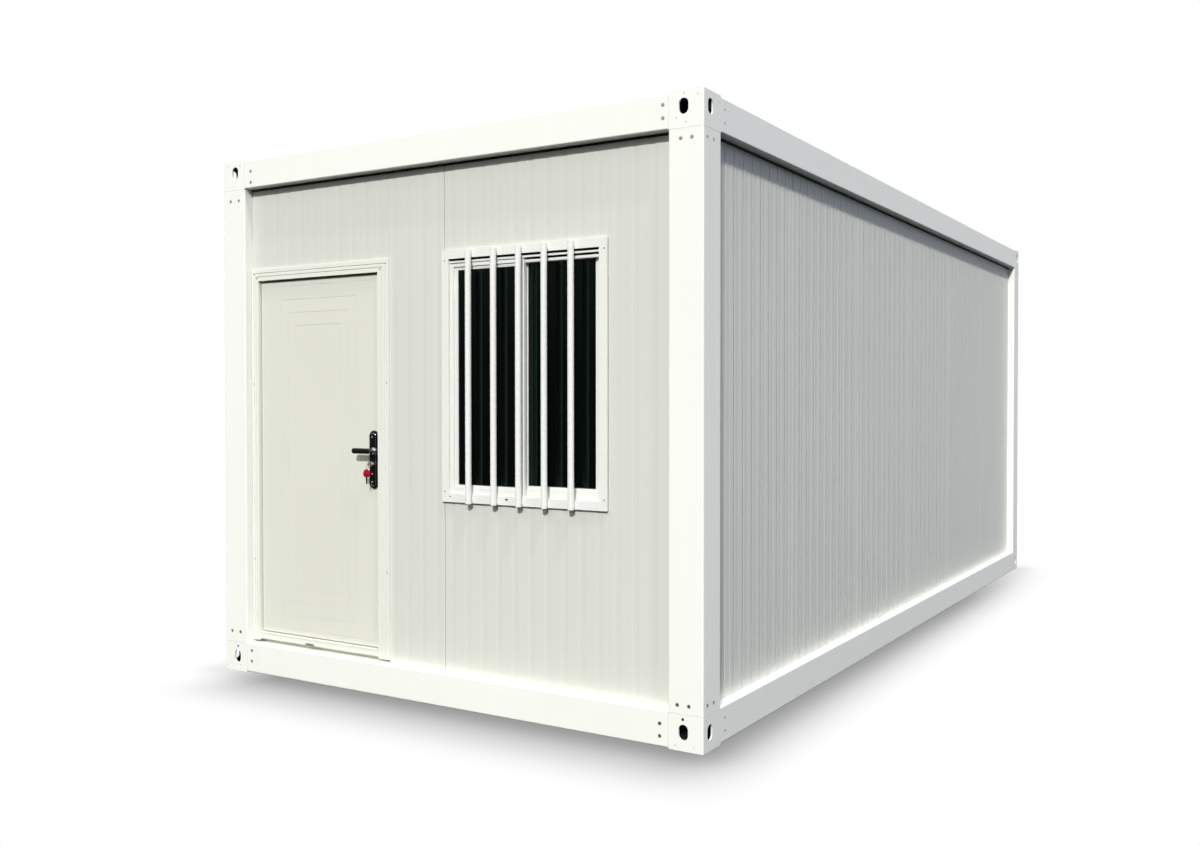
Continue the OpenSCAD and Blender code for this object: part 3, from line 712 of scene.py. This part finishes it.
# black pile seal over the outer sash, behind the slot under the head flange; its black is also painted shade that
# darkens the slot
pile = bmesh.new()
hx0, hx1 = sashes[0][0][0] + 0.004, sashes[1][1][0] - 0.004
hz0 = sashes[0][1][2] + 0.0008
nf = 160
rows = []
for i in range(nf + 1):
    x = hx0 + (hx1 - hx0) * i / nf
    w_ = 0.0007 * math.sin(i * 2.1) + 0.0005 * math.sin(i * 0.73)
    yy = sashes[0][0][1] + 0.0032 + w_
    rows.append([pile.verts.new((x, yy, hz0)), pile.verts.new((x, yy - 0.0012, hz0 + 0.008)),
                 pile.verts.new((x, yy, hz0 + 0.0162)), pile.verts.new((x, yy + 0.004, hz0 + 0.0162)),
                 pile.verts.new((x, yy + 0.004, hz0))])
for A_, B_ in zip(rows, rows[1:]):
    for i in range(5):
        j = (i + 1) % 5
        pile.faces.new((A_[i], A_[j], B_[j], B_[i]))
pile.faces.new(rows[0])
pile.faces.new(rows[-1])
add("sash_pile_seal_and_slot_shade", pile, "rubber_seal")

fl = B["window_frame"]
dots = bmesh.new()
FY = fl[0][1]


def slot_mark(bm, x, z, w, h, y):
    """Small stadium-shaped slot: a dark floor of painted shade in a thin raised rim."""
    if w >= h:
        def shape(g):
            return [(x + q, z + p) for p, q in stadium(h + 2 * g, w + 2 * g, 8)]
    else:
        def shape(g):
            return stadium(w + 2 * g, h + 2 * g, 8, x, z)
    bm_stack(bm, [(shape(0.0), y - 0.00015), (shape(0.0), y - 0.0001)], 0)
    bm_stack(bm, [(shape(0.0013), y + 0.0002), (shape(0.0009), y - 0.0005), (shape(0.0), y - 0.0005),
                  (shape(0.0), y + 0.0002)], 1, False, False)


slot_mark(dots, fl[0][0] + 0.395, fl[0][2] + 0.027, 0.016, 0.009, FY)
slot_mark(dots, fl[0][0] + 0.050, fl[0][2] + 0.044 - 0.017, 0.008, 0.008, FY)
slot_mark(dots, fl[1][0] - 0.014, fl[1][2] - 0.050, 0.007, 0.007, FY)
slot_mark(dots, fl[1][0] - 0.014, fl[0][2] + 0.050, 0.007, 0.007, FY)
slot_mark(dots, fl[0][0] + 0.018, fl[1][2] - 0.050, 0.007, 0.007, FY)
slot_mark(dots, fl[0][0] + 0.018, fl[0][2] + 0.050, 0.007, 0.007, FY)
add("window_slot_shade", dots, "painted_gap_shade", mats=["painted_gap_shade", "window_plastic"], smooth=30)

# finger pull on each sash's meeting rail, and a latch on the inner side
latch = bmesh.new()
for (lo, hi), s in zip(sashes, (1, -1)):
    x = hi[0] - 0.020 if s > 0 else lo[0] + 0.018
    zc = (lo[2] + hi[2]) / 2
    bm_stack(latch, [(stadium(0.018, 0.110, 10, x, zc), lo[1] - 0.0002 if s > 0 else hi[1] + 0.0006),
                     (stadium(0.015, 0.107, 10, x, zc), lo[1] - 0.0016 if s > 0 else hi[1] + 0.004)])
add("sash_pulls", latch, "window_plastic")

# bead of sealer round the window flange and the door frame
bead = bmesh.new()
wall_y = B["front_wall_right"][0][1]
x0, x1, zb, zt = fl[0][0] + 0.003, fl[1][0] - 0.003, fl[0][2] + 0.003, fl[1][2] - 0.003
bm_ring_frame(bead, (x0, x1, zb, zt), (x0 + 0.006, x1 - 0.006, zb + 0.006, zt - 0.006), FY + 0.0095, wall_y + 0.0006)
df0, df1 = B["door_frame"]
for xs in ((df1[0] - 0.010, df1[0] - 0.004), ):
    bm_box(bead, (xs[0], df0[1] + 0.0102, 0.19), (xs[1], wall_y + 0.0006, df1[2] - 0.006))
bm_box(bead, (df0[0] + 0.002, df0[1] + 0.0102, df1[2] - 0.010), (df1[0] - 0.004, wall_y + 0.0006, df1[2] - 0.004))
add("sealer_beads", bead, "joint_sealer_and_bolt_shade", smooth=0)

# painted cover strip pressed into the panel joint right of the window
strip = bmesh.new()
sxm = fl[1][0] - 0.003
for za, zc_ in ((0.164, fl[0][2] - 0.001), (fl[1][2] + 0.001, TOP - 0.158)):
    prof = [(-0.0040, 0.0030), (-0.0036, 0.0012), (-0.0016, 0.0007), (0.0016, 0.0007), (0.0036, 0.0012), (0.0040, 0.0030)]
    lo_ = [strip.verts.new((sxm + dx, wall_y + dy, za)) for dx, dy in prof]
    hi_ = [strip.verts.new((sxm + dx, wall_y + dy, zc_)) for dx, dy in prof]
    for i in range(len(prof) - 1):
        strip.faces.new((lo_[i], lo_[i + 1], hi_[i + 1], hi_[i]))
    strip.faces.new((lo_[0], lo_[-1], hi_[-1], hi_[0]))
    strip.faces.new(lo_)
    strip.faces.new(hi_)
add("joint_cover_strip", strip, "wall_panel")


# ---------------------------------------------------------------- door details

dl0, dl1 = B["door_leaf"]
leaf_y0 = dl0[1]
reb_y = df0[1] + 0.040
seal_bm = bmesh.new()
ox0, ox1 = dl0[0] + 0.012, dl1[0] - 0.015
oz0, oz1 = dl0[2] + 0.008, dl1[2] - 0.012
# gasket on the frame's shoulder, which the leaf's flange closes against
for a, b_ in (((ox0 - 0.010, dl0[2] + 0.02), (ox0 - 0.002, dl1[2] - 0.006)),
              ((ox1 + 0.002, dl0[2] + 0.02), (ox1 + 0.010, dl1[2] - 0.006))):
    bm_box(seal_bm, (a[0], reb_y - 0.0010, a[1]), (b_[0], reb_y + 0.0016, b_[1]), 0.0006, 2)
bm_box(seal_bm, (ox0 - 0.010, reb_y - 0.0010, oz1 + 0.002), (ox1 + 0.010, reb_y + 0.0016, oz1 + 0.010), 0.0006, 2)
add("door_gasket", seal_bm, "rubber_seal")

# small screws in the corners of the door frame's face
scr = bmesh.new()
for x, z in ((df0[0] + 0.020, df1[2] - 0.022), (df0[0] + 0.044, df1[2] - 0.048),
             (df1[0] - 0.020, df1[2] - 0.022), (df1[0] - 0.058, df1[2] - 0.048),
             (df0[0] + 0.014, 0.62), (df0[0] + 0.014, 1.58), (df1[0] - 0.016, 0.62), (df1[0] - 0.016, 1.58)):
    bm_lathe(scr, [(0.0045, -0.0003), (0.0043, 0.0006), (0.0030, 0.0011), (0.0018, 0.0012), (0.0016, 0.0005), (0, 0.0004)],
             (x, df0[1], z), (0, -1, 0), 20)
add("door_frame_screws", scr, "zinc_bolts")

# clip on the sill's drip edge
sl0, sl1 = B["door_sill"]
clip = bmesh.new()
cx = 1.5 - 2.390
bm_box(clip, (cx - 0.030, sl0[1] - 0.0014, 0.186), (cx + 0.030, sl0[1] + 0.0004, 0.1965), 0.0006, 2)
bm_box(clip, (cx - 0.030, sl0[1] - 0.0014, 0.1835), (cx + 0.030, sl0[1] + 0.012, 0.1865), 0.0006, 2)
add("sill_clip", clip, "zinc_bolts")

# ledge strip along the sill's top edge
ledge = bmesh.new()
top = sl1[2]
prof = [(0.0, 0.0), (-0.0016, -0.0008), (-0.0020, -0.0035), (-0.0012, -0.0052), (0.0, -0.0056)]
xs0, xs1 = ox0 + 0.001, ox1 - 0.001
rows = [[ledge.verts.new((x, sl0[1] + dy, top + dz)) for dy, dz in prof] for x in (xs0, xs1)]
for i in range(len(prof) - 1):
    ledge.faces.new((rows[0][i], rows[1][i], rows[1][i + 1], rows[0][i + 1]))
ledge.faces.new((rows[0][0], rows[0][-1], rows[1][-1], rows[1][0]))
ledge.faces.new(rows[0])
ledge.faces.new(rows[1])
add("sill_ledge", ledge, "door_frame_paint")

# ---------------------------------------------------------------- lock

lp0, lp1 = B["lock_plates"]
lx = (lp0[0] + lp1[0]) / 2
lzc = (lp0[2] + lp1[2]) / 2
plate_w, plate_h = lp1[0] - lp0[0], lp1[2] - lp0[2]
LEV = frame["record"]["behaviour"]["joints"][1]["pos_m"]
lev_z = LEV[2]
cyl0, cyl1 = B["lock_cylinder"]
cyl_z = (cyl0[2] + cyl1[2]) / 2


def plate(bm, yface, s):
    """Pressed plate: rolled rim, groove and a raised inner field; s is +1
    towards the outside (-Y)."""
    def lay(g, d):
        return (stadium(plate_w - 2 * g, plate_h - 2 * g, 20, lx, lzc), yface - s * d)
    bm_stack(bm, [lay(0.0, -0.0098), lay(0.0, -0.0040), lay(0.0005, -0.0024), lay(0.0016, -0.0014), lay(0.0032, -0.0010),
                  lay(0.0120, -0.0010), lay(0.0132, -0.0007), lay(0.0144, 0.0001), lay(0.0158, 0.0012),
                  lay(0.0170, 0.0019), lay(0.0184, 0.0022), lay(0.0210, 0.0023)])


lk = bmesh.new()
plate(lk, lp0[1], 1)
plate(lk, lp1[1], -1)
lock_ob = add("lock_plates_pressed", lk, "lock_black", body="door", smooth=40)
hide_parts("lock_plates")

ls = bmesh.new()
for y, a in ((lp0[1], (0, -1, 0)), (lp1[1], (0, 1, 0))):
    for zz in (lp1[2] - 0.034, lp0[2] + 0.034, lev_z - 0.118):
        bm_lathe(ls, [(0.0046, 0.0004), (0.0044, 0.0032), (0.0032, 0.0040), (0.0017, 0.0042), (0.0015, 0.0033), (0, 0.0032)],
                 (lx - 0.006, y, zz), a, 20)
add("lock_screws", ls, "zinc_bolts", body="door")

# thin chrome trim round the raised field of each plate, standing in for the highlight on the field's sloped edge: a
# painted highlight
trim = bmesh.new()
for yface, s in ((lp0[1], 1), (lp1[1], -1)):
    ring_pts = [Vector((x, yface - s * 0.0010, z)) for x, z in stadium(plate_w - 0.0270, plate_h - 0.0270, 16, lx, lzc)]
    n_ = len(ring_pts)
    rows = []
    for i, q in enumerate(ring_pts):
        t_ = (ring_pts[(i + 1) % n_] - ring_pts[i - 1]).normalized()
        o_ = t_.cross(Vector((0, 1, 0)))
        rows.append([trim.verts.new(q + (o_ * math.cos(k) + Vector((0, 1, 0)) * math.sin(k)) * 0.00115)
                     for k in (2 * math.pi * j / 10 for j in range(10))])
    for i in range(n_):
        A_, B_ = rows[i], rows[(i + 1) % n_]
        for j in range(10):
            trim.faces.new((A_[j], A_[(j + 1) % 10], B_[(j + 1) % 10], B_[j]))
add("lock_plate_highlight_trim", trim, "lock_chrome", body="door", smooth=60)

# lever: bright neck, flat black grip with a rounded end, on both sides
lv0, lv1 = B["lever_handle"]
LEN = LEV[0] - lv0[0]


def lever_side(grip, neck, yplate, ygrip0, ygrip1, s):
    """s is -1 outside and +1 inside; ygrip0 is the side near the leaf."""
    bm_lathe(neck, [(0.0, 0.0), (0.0182, 0.0), (0.0182, 0.0020), (0.0168, 0.0034), (0.0125, 0.0040),
                    (0.0108, 0.0060), (0.0100, abs(ygrip0 - yplate) - 0.002), (0.0108, abs(ygrip0 - yplate) + 0.001),
                    (0.0, abs(ygrip0 - yplate) + 0.001)],
             (lx, yplate, lev_z), (0, s, 0), 32)
    # grip: loft of rounded sections, flat and slightly arched
    n = 14
    rows = []
    stations = [(-0.0126, 0.40), (-0.0104, 0.74), (-0.0060, 0.94), (0.002, 1.0), (0.030, 1.0), (0.055, 1.0), (0.080, 1.02),
                (0.094, 1.02), (0.101, 0.93), (0.1055, 0.74), (0.1078, 0.42)]
    yc = (ygrip0 + ygrip1) / 2
    hy = abs(ygrip1 - ygrip0) / 2 - 0.0002
    for d, k in stations:
        d = d / 0.108 * LEN if d > 0 else d
        hz = 0.0141 * k
        hyk = hy * (0.8 + 0.2 * k)
        ring = []
        for i in range(n * 2):
            t = 2 * math.pi * i / (n * 2)
            c, q = math.cos(t), math.sin(t)
            e = 0.62
            ring.append(grip.verts.new((lx - d, yc + hyk * math.copysign(abs(c) ** e, c),
                                        lev_z + hz * math.copysign(abs(q) ** e, q))))
        rows.append(ring)
    for A_, B_ in zip(rows, rows[1:]):
        for i in range(n * 2):
            j = (i + 1) % (n * 2)
            grip.faces.new((A_[i], A_[j], B_[j], B_[i]))
    grip.faces.new(rows[0])
    grip.faces.new(rows[-1])


gp, nk = bmesh.new(), bmesh.new()
lever_side(gp, nk, lp0[1], lv0[1] + 0.014, lv0[1], -1)
lever_side(gp, nk, lp1[1], lv1[1] - 0.014, lv1[1], 1)
bm_lathe(nk, [(0.0, 0.0), (0.0075, 0.0), (0.0075, lp1[1] - lp0[1]), (0.0, lp1[1] - lp0[1])],
         (lx, lp0[1], lev_z), (0, 1, 0), 20)
g_ob = add("lever_grips", gp, "lever_metal", body="lever", smooth=50)
n_ob = add("lever_necks", nk, "lock_chrome", body="lever")
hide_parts("lever_handle")
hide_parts("lever_handle")

# lock cylinder with its rim, keyway and dark collar
cy = bmesh.new()
rc = (cyl1[2] - cyl0[2]) / 2
for y, s in ((lp0[1], -1), (lp1[1], 1)):
    reach = (lp0[1] - cyl0[1]) if s < 0 else (cyl1[1] - lp1[1])
    bm_lathe(cy, [(0, -0.002), (rc - 0.0001, -0.002), (rc - 0.0001, reach - 0.0022), (rc - 0.0009, reach - 0.0010),
                  (rc - 0.0022, reach - 0.0004), (rc - 0.0034, reach - 0.0004), (rc - 0.0040, reach - 0.0012), (0, reach - 0.0012)],
             (lx, y, cyl_z), (0, s, 0), 36, 0)
    bm_box(cy, (lx - 0.0011, min(y + s * (reach - 0.0014), y + s * (reach - 0.0006)), cyl_z - 0.0048),
           (lx + 0.0011, max(y + s * (reach - 0.0014), y + s * (reach - 0.0006)), cyl_z + 0.0048), 0, 1, 1)
    bm_lathe(cy, [(rc + 0.0002, -0.001), (rc + 0.0050, -0.001), (rc + 0.0050, 0.0028), (rc + 0.0038, 0.0042),
                  (rc + 0.0012, 0.0046), (rc + 0.0002, 0.0040)], (lx, y, cyl_z), (0, s, 0), 36, 1, True)
c_ob = add("lock_cylinder_turned", cy, "lock_chrome", body="door", mats=["lock_chrome", "lock_black"])
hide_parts("lock_cylinder")

# key in the lock: flat dark bow, ring and a second key with a red head
key = bmesh.new()
ky = cyl0[1] + 0.0006
bm_box(key, (lx - 0.0010, ky - 0.010, cyl_z - 0.0042), (lx + 0.0010, ky + 0.002, cyl_z + 0.0042), 0.0004, 1)
bow = []
for i in range(24):
    t = 2 * math.pi * i / 24
    bow.append((0.0075 * math.cos(t) - 0.0155, 0.0105 * math.sin(t)))
rows = []
for dx in (-0.0010, -0.0007, 0.0007, 0.0010):
    k = 0.94 if abs(dx) > 0.0008 else 1.0
    rows.append([key.verts.new((lx + dx, ky + (-0.0155 + (y + 0.0155) * k), cyl_z + z * k)) for y, z in bow])
for A_, B_ in zip(rows, rows[1:]):
    for i in range(24):
        j = (i + 1) % 24
        key.faces.new((A_[i], A_[j], B_[j], B_[i]))
key.faces.new(rows[0])
key.faces.new(rows[-1])
k_ob = add("key_in_lock", key, "zinc_bolts", body="door")

rg = bmesh.new()
ring_c = Vector((lx - 0.006, ky - 0.0165, cyl_z - 0.0175))
R = 0.0115
pts = []
for i in range(37):
    t = 2 * math.pi * i / 36
    pts.append(ring_c + Vector((0.35 * R * math.sin(t) * 0.9, 0.25 * R * math.sin(t), R * math.cos(t))))
bm_tube(rg, pts, 0.0009, 8)
add("key_ring", rg, "lock_chrome", body="door")

# red head: a flattened egg with a shallow dish, hanging from the ring
hd = bmesh.new()
hc = Vector((lx - 0.0110, ky - 0.0165, cyl_z - 0.0460))
TURN = Matrix.Rotation(math.radians(34.0), 3, "Z")
nu, nv = 28, 12
rows = []
HW, HH, HT = 0.0178, 0.0225, 0.0036
for iv in range(nv + 1):
    ph = -math.pi / 2 + math.pi * iv / nv
    ring = []
    for iu in range(nu):
        th = 2 * math.pi * iu / nu
        cz = math.copysign(abs(math.sin(th)) ** 0.9, math.sin(th))
        rr = math.cos(ph) ** 0.45 if 0 < iv < nv else 0.02
        ring.append(hd.verts.new(hc + TURN @ Vector((HW * rr * math.cos(th) * (1 - 0.10 * cz), HT * math.sin(ph), HH * rr * cz))))
    rows.append(ring)
for A_, B_ in zip(rows, rows[1:]):
    for i in range(nu):
        j = (i + 1) % nu
        hd.faces.new((A_[i], A_[j], B_[j], B_[i]))
hd.faces.new(rows[0])
hd.faces.new(rows[-1])
add("key_head_red", hd, "key_red", body="door", smooth=60)
# key blade in the near-black lever finish: painted shade on the steel blade
bl = bmesh.new()
outline = [(-0.0038, 0.0), (0.0038, 0.0), (0.0038, -0.030), (0.0024, -0.0335), (0.0, -0.036), (-0.0022, -0.0335),
           (-0.0022, -0.030), (-0.0036, -0.028), (-0.0022, -0.0255), (-0.0038, -0.023), (-0.0026, -0.020), (-0.0038, -0.0175)]
base = hc + Vector((0.0, 0.0, -0.0210))
for dy0, dy1 in ((-0.0011, 0.0011),):
    A_ = [bl.verts.new(base + TURN @ Vector((x, dy0, z))) for x, z in outline]
    B_ = [bl.verts.new(base + TURN @ Vector((x, dy1, z))) for x, z in outline]
    for i in range(len(outline)):
        j = (i + 1) % len(outline)
        bl.faces.new((A_[i], A_[j], B_[j], B_[i]))
    bl.faces.new(A_)
    bl.faces.new(B_)
add("key_blade", bl, "lever_metal", body="door", smooth=0)

# ---------------------------------------------------------------- hinge and roof details

pins = bmesh.new()
hf0, hf1 = B["door_hinges_fixed"]
hm = split_boxes(NODES["door_hinges_moving"])
for lo, hi in hm:
    ax = lo[0] + 0.009
    ay = hi[1] - 0.009
    bm_lathe(pins, [(0.0088, 0.0), (0.0088, 0.0012), (0.0070, 0.0030), (0.0, 0.0036)], (ax, ay, hi[2]), (0, 0, 1), 24)
add("hinge_caps", pins, "galvanised_steel", body="door")

# screws with washers along the roof sheet's ribs
rf0, rf1 = B["roof_sheet"]
rs = bmesh.new()
for iy in range(-6, 7):
    for ix in range(-3, 4):
        x, y = ix * 0.44, iy * 0.435
        bm_lathe(rs, [(0.0090, 0.0), (0.0088, 0.0012), (0.0055, 0.0016), (0.0050, 0.0040), (0.0036, 0.0052), (0, 0.0056)],
                 (x, y, rf1[2] - 0.0002), (0, 0, 1), 12)
add("roof_screws", rs, "zinc_bolts")

# ---------------------------------------------------------------- stage

stage_m = bpy.data.materials.new("studio_floor")
stage_m.use_nodes = True
nt = stage_m.node_tree
nt.nodes.clear()
out = nt.nodes.new("ShaderNodeOutputMaterial")
em = nt.nodes.new("ShaderNodeEmission")
tcf = nt.nodes.new("ShaderNodeTexCoord")
spf = nt.nodes.new("ShaderNodeSeparateXYZ")
nt.links.new(tcf.outputs["Object"], spf.inputs[0])
fx, fy = spf.outputs[0], spf.outputs[1]


def fade(x, full, gone):
    """1 at full and beyond, falling smoothly to 0 at gone."""
    m_ = nt.nodes.new("ShaderNodeMapRange")
    m_.interpolation_type = "SMOOTHSTEP"
    m_.inputs["From Min"].default_value = gone
    m_.inputs["From Max"].default_value = full
    nt.links.new(x, m_.inputs["Value"])
    return m_.outputs[0]


# soft shadow under the cabin, falling a little towards the viewer
sh = mathn(nt, "MULTIPLY", fade(fx, HX - 0.10, HX + 0.42), fade(fy, -HY + 0.12, -HY - 0.62))
sh = mathn(nt, "MULTIPLY", sh, mathn(nt, "MULTIPLY", fade(fx, -HX + 0.46, -HX - 0.05), fade(fy, HY - 2.1, HY + 0.5)))
sh = mathn(nt, "MULTIPLY", sh, 0.645)
# close contact shadow all round
qx = mathn(nt, "MAXIMUM", mathn(nt, "SUBTRACT", mathn(nt, "ABSOLUTE", fx), HX), 0.0)
qy = mathn(nt, "MAXIMUM", mathn(nt, "SUBTRACT", mathn(nt, "ABSOLUTE", fy), HY), 0.0)
dist = mathn(nt, "SQRT", mathn(nt, "ADD", mathn(nt, "MULTIPLY", qx, qx), mathn(nt, "MULTIPLY", qy, qy)))
near = mathn(nt, "MULTIPLY", fade(dist, 0.0, 0.22), 0.16)
keep = mathn(nt, "MULTIPLY", mathn(nt, "SUBTRACT", 1.0, sh), mathn(nt, "SUBTRACT", 1.0, near))
nt.links.new(keep, em.inputs["Color"])
em.inputs["Strength"].default_value = 1.0
nt.links.new(em.outputs[0], out.inputs[0])
bmf = bmesh.new()
bmesh.ops.create_grid(bmf, x_segments=1, y_segments=1, size=70.0)
mef = bpy.data.meshes.new("studio_floor")
bmf.to_mesh(mef)
bmf.free()
floor = bpy.data.objects.new("studio_floor", mef)
floor.location.z = -0.001
scene.collection.objects.link(floor)
mef.materials.append(stage_m)
floor.visible_diffuse = False
floor.visible_shadow = False
floor.visible_glossy = False

# world: soft light from a bright upper dome, dim near the horizon and below
w = bpy.data.worlds.new("studio")
scene.world = w
w.use_nodes = True
nt = w.node_tree
nt.nodes.clear()
out = nt.nodes.new("ShaderNodeOutputWorld")
bg = nt.nodes.new("ShaderNodeBackground")
bgc = nt.nodes.new("ShaderNodeBackground")
mix = nt.nodes.new("ShaderNodeMixShader")
lp = nt.nodes.new("ShaderNodeLightPath")
tc = nt.nodes.new("ShaderNodeTexCoord")
sep = nt.nodes.new("ShaderNodeSeparateXYZ")
nt.links.new(tc.outputs["Generated"], sep.inputs[0])
r = nt.nodes.new("ShaderNodeValToRGB")
els = r.color_ramp.elements
stops = [(0.0, (0.035, 0.035, 0.033)), (0.47, (0.040, 0.040, 0.038)), (0.52, (0.06, 0.062, 0.063)),
         (0.60, (0.26, 0.265, 0.27)), (0.70, (0.95, 0.96, 0.97)), (1.0, (1.08, 1.10, 1.12))]
while len(els) < len(stops):
    els.new(0.5)
for e, (p, c) in zip(els, stops):
    e.position = p
    e.color = (*c, 1)
mr = nt.nodes.new("ShaderNodeMapRange")
mr.inputs["From Min"].default_value = -1.0
mr.inputs["From Max"].default_value = 1.0
nt.links.new(sep.outputs[2], mr.inputs["Value"])
nt.links.new(mr.outputs[0], r.inputs[0])
# cooler, weaker light from the right-hand side, and a pale band low down
# behind the cabin
cool = mixc(nt, span(nt, sep.outputs[0], -0.1, 0.8, 0.0, 1.0), (1.04, 1.035, 1.00), (0.47, 0.585, 0.80))
dome = mixc(nt, 1.0, r.outputs[0], cool, "MULTIPLY")
low = mathn(nt, "MULTIPLY", span(nt, sep.outputs[2], -0.30, -0.05, 0.0, 1.0), span(nt, sep.outputs[2], 0.20, 0.45, 1.0, 0.0))
back = mathn(nt, "MULTIPLY", low, span(nt, sep.outputs[1], 0.35, 0.75, 0.0, 1.0))
dome = mixc(nt, back, dome, (0.46, 0.465, 0.47))
nt.links.new(dome, bg.inputs["Color"])
bg.inputs["Strength"].default_value = 1.0
bgc.inputs["Color"].default_value = (1, 1, 1, 1)
bgc.inputs["Strength"].default_value = 1.0
nt.links.new(lp.outputs["Is Camera Ray"], mix.inputs[0])
nt.links.new(bg.outputs[0], mix.inputs[1])
nt.links.new(bgc.outputs[0], mix.inputs[2])
nt.links.new(mix.outputs[0], out.inputs[0])

key_l = bpy.data.lights.new("key", "SUN")
key_l.energy = 3.10
key_l.angle = math.radians(2.6)
key_l.color = (1.0, 0.992, 0.965)
ko = bpy.data.objects.new("key", key_l)
d = Vector((0.40, -1.0, 0.80)).normalized()
ko.rotation_euler = d.to_track_quat("Z", "Y").to_euler()
ko.location = d * 12
scene.collection.objects.link(ko)

# second soft source high over the right-hand side
side_l = bpy.data.lights.new("side", "SUN")
side_l.energy = 1.06
side_l.angle = math.radians(2.6)
side_l.color = (1.0, 0.95, 0.89)
so = bpy.data.objects.new("side", side_l)
d = Vector((1.0, -0.40, 2.25)).normalized()
so.rotation_euler = d.to_track_quat("Z", "Y").to_euler()
so.location = d * 12
scene.collection.objects.link(so)

# weak broad light on the two far sides
fill_l = bpy.data.lights.new("fill", "SUN")
fill_l.energy = 1.5
fill_l.angle = math.radians(40.0)
fo = bpy.data.objects.new("fill", fill_l)
d = Vector((-0.72, 0.80, 0.45)).normalized()
fo.rotation_euler = d.to_track_quat("Z", "Y").to_euler()
fo.location = d * 12
scene.collection.objects.link(fo)

# ---------------------------------------------------------------- camera

cam = bpy.data.cameras.new("camera")
co = bpy.data.objects.new("camera", cam)
scene.collection.objects.link(co)
cam.sensor_width = 36.0
cam.lens = 33.12
cam.shift_x = -0.0518
cam.shift_y = -0.0053
cam.clip_end = 300.0
yaw, pitch, roll = math.radians(-30.01), math.radians(-0.90), math.radians(0.02)
fwd = Vector((math.sin(yaw) * math.cos(pitch), math.cos(yaw) * math.cos(pitch), math.sin(pitch)))
right = Vector((math.cos(yaw), -math.sin(yaw), 0.0))
up = right.cross(fwd)
r2 = right * math.cos(roll) + up * math.sin(roll)
u2 = -right * math.sin(roll) + up * math.cos(roll)
mat = Matrix((r2, u2, -fwd)).transposed().to_4x4()
mat.translation = Vector((3.662, -7.064, 1.497))
co.matrix_world = mat
scene.camera = co

scene.view_settings.view_transform = "Standard"
scene.view_settings.look = "None"
scene.view_settings.exposure = 0.0
scene.view_settings.gamma = 1.0
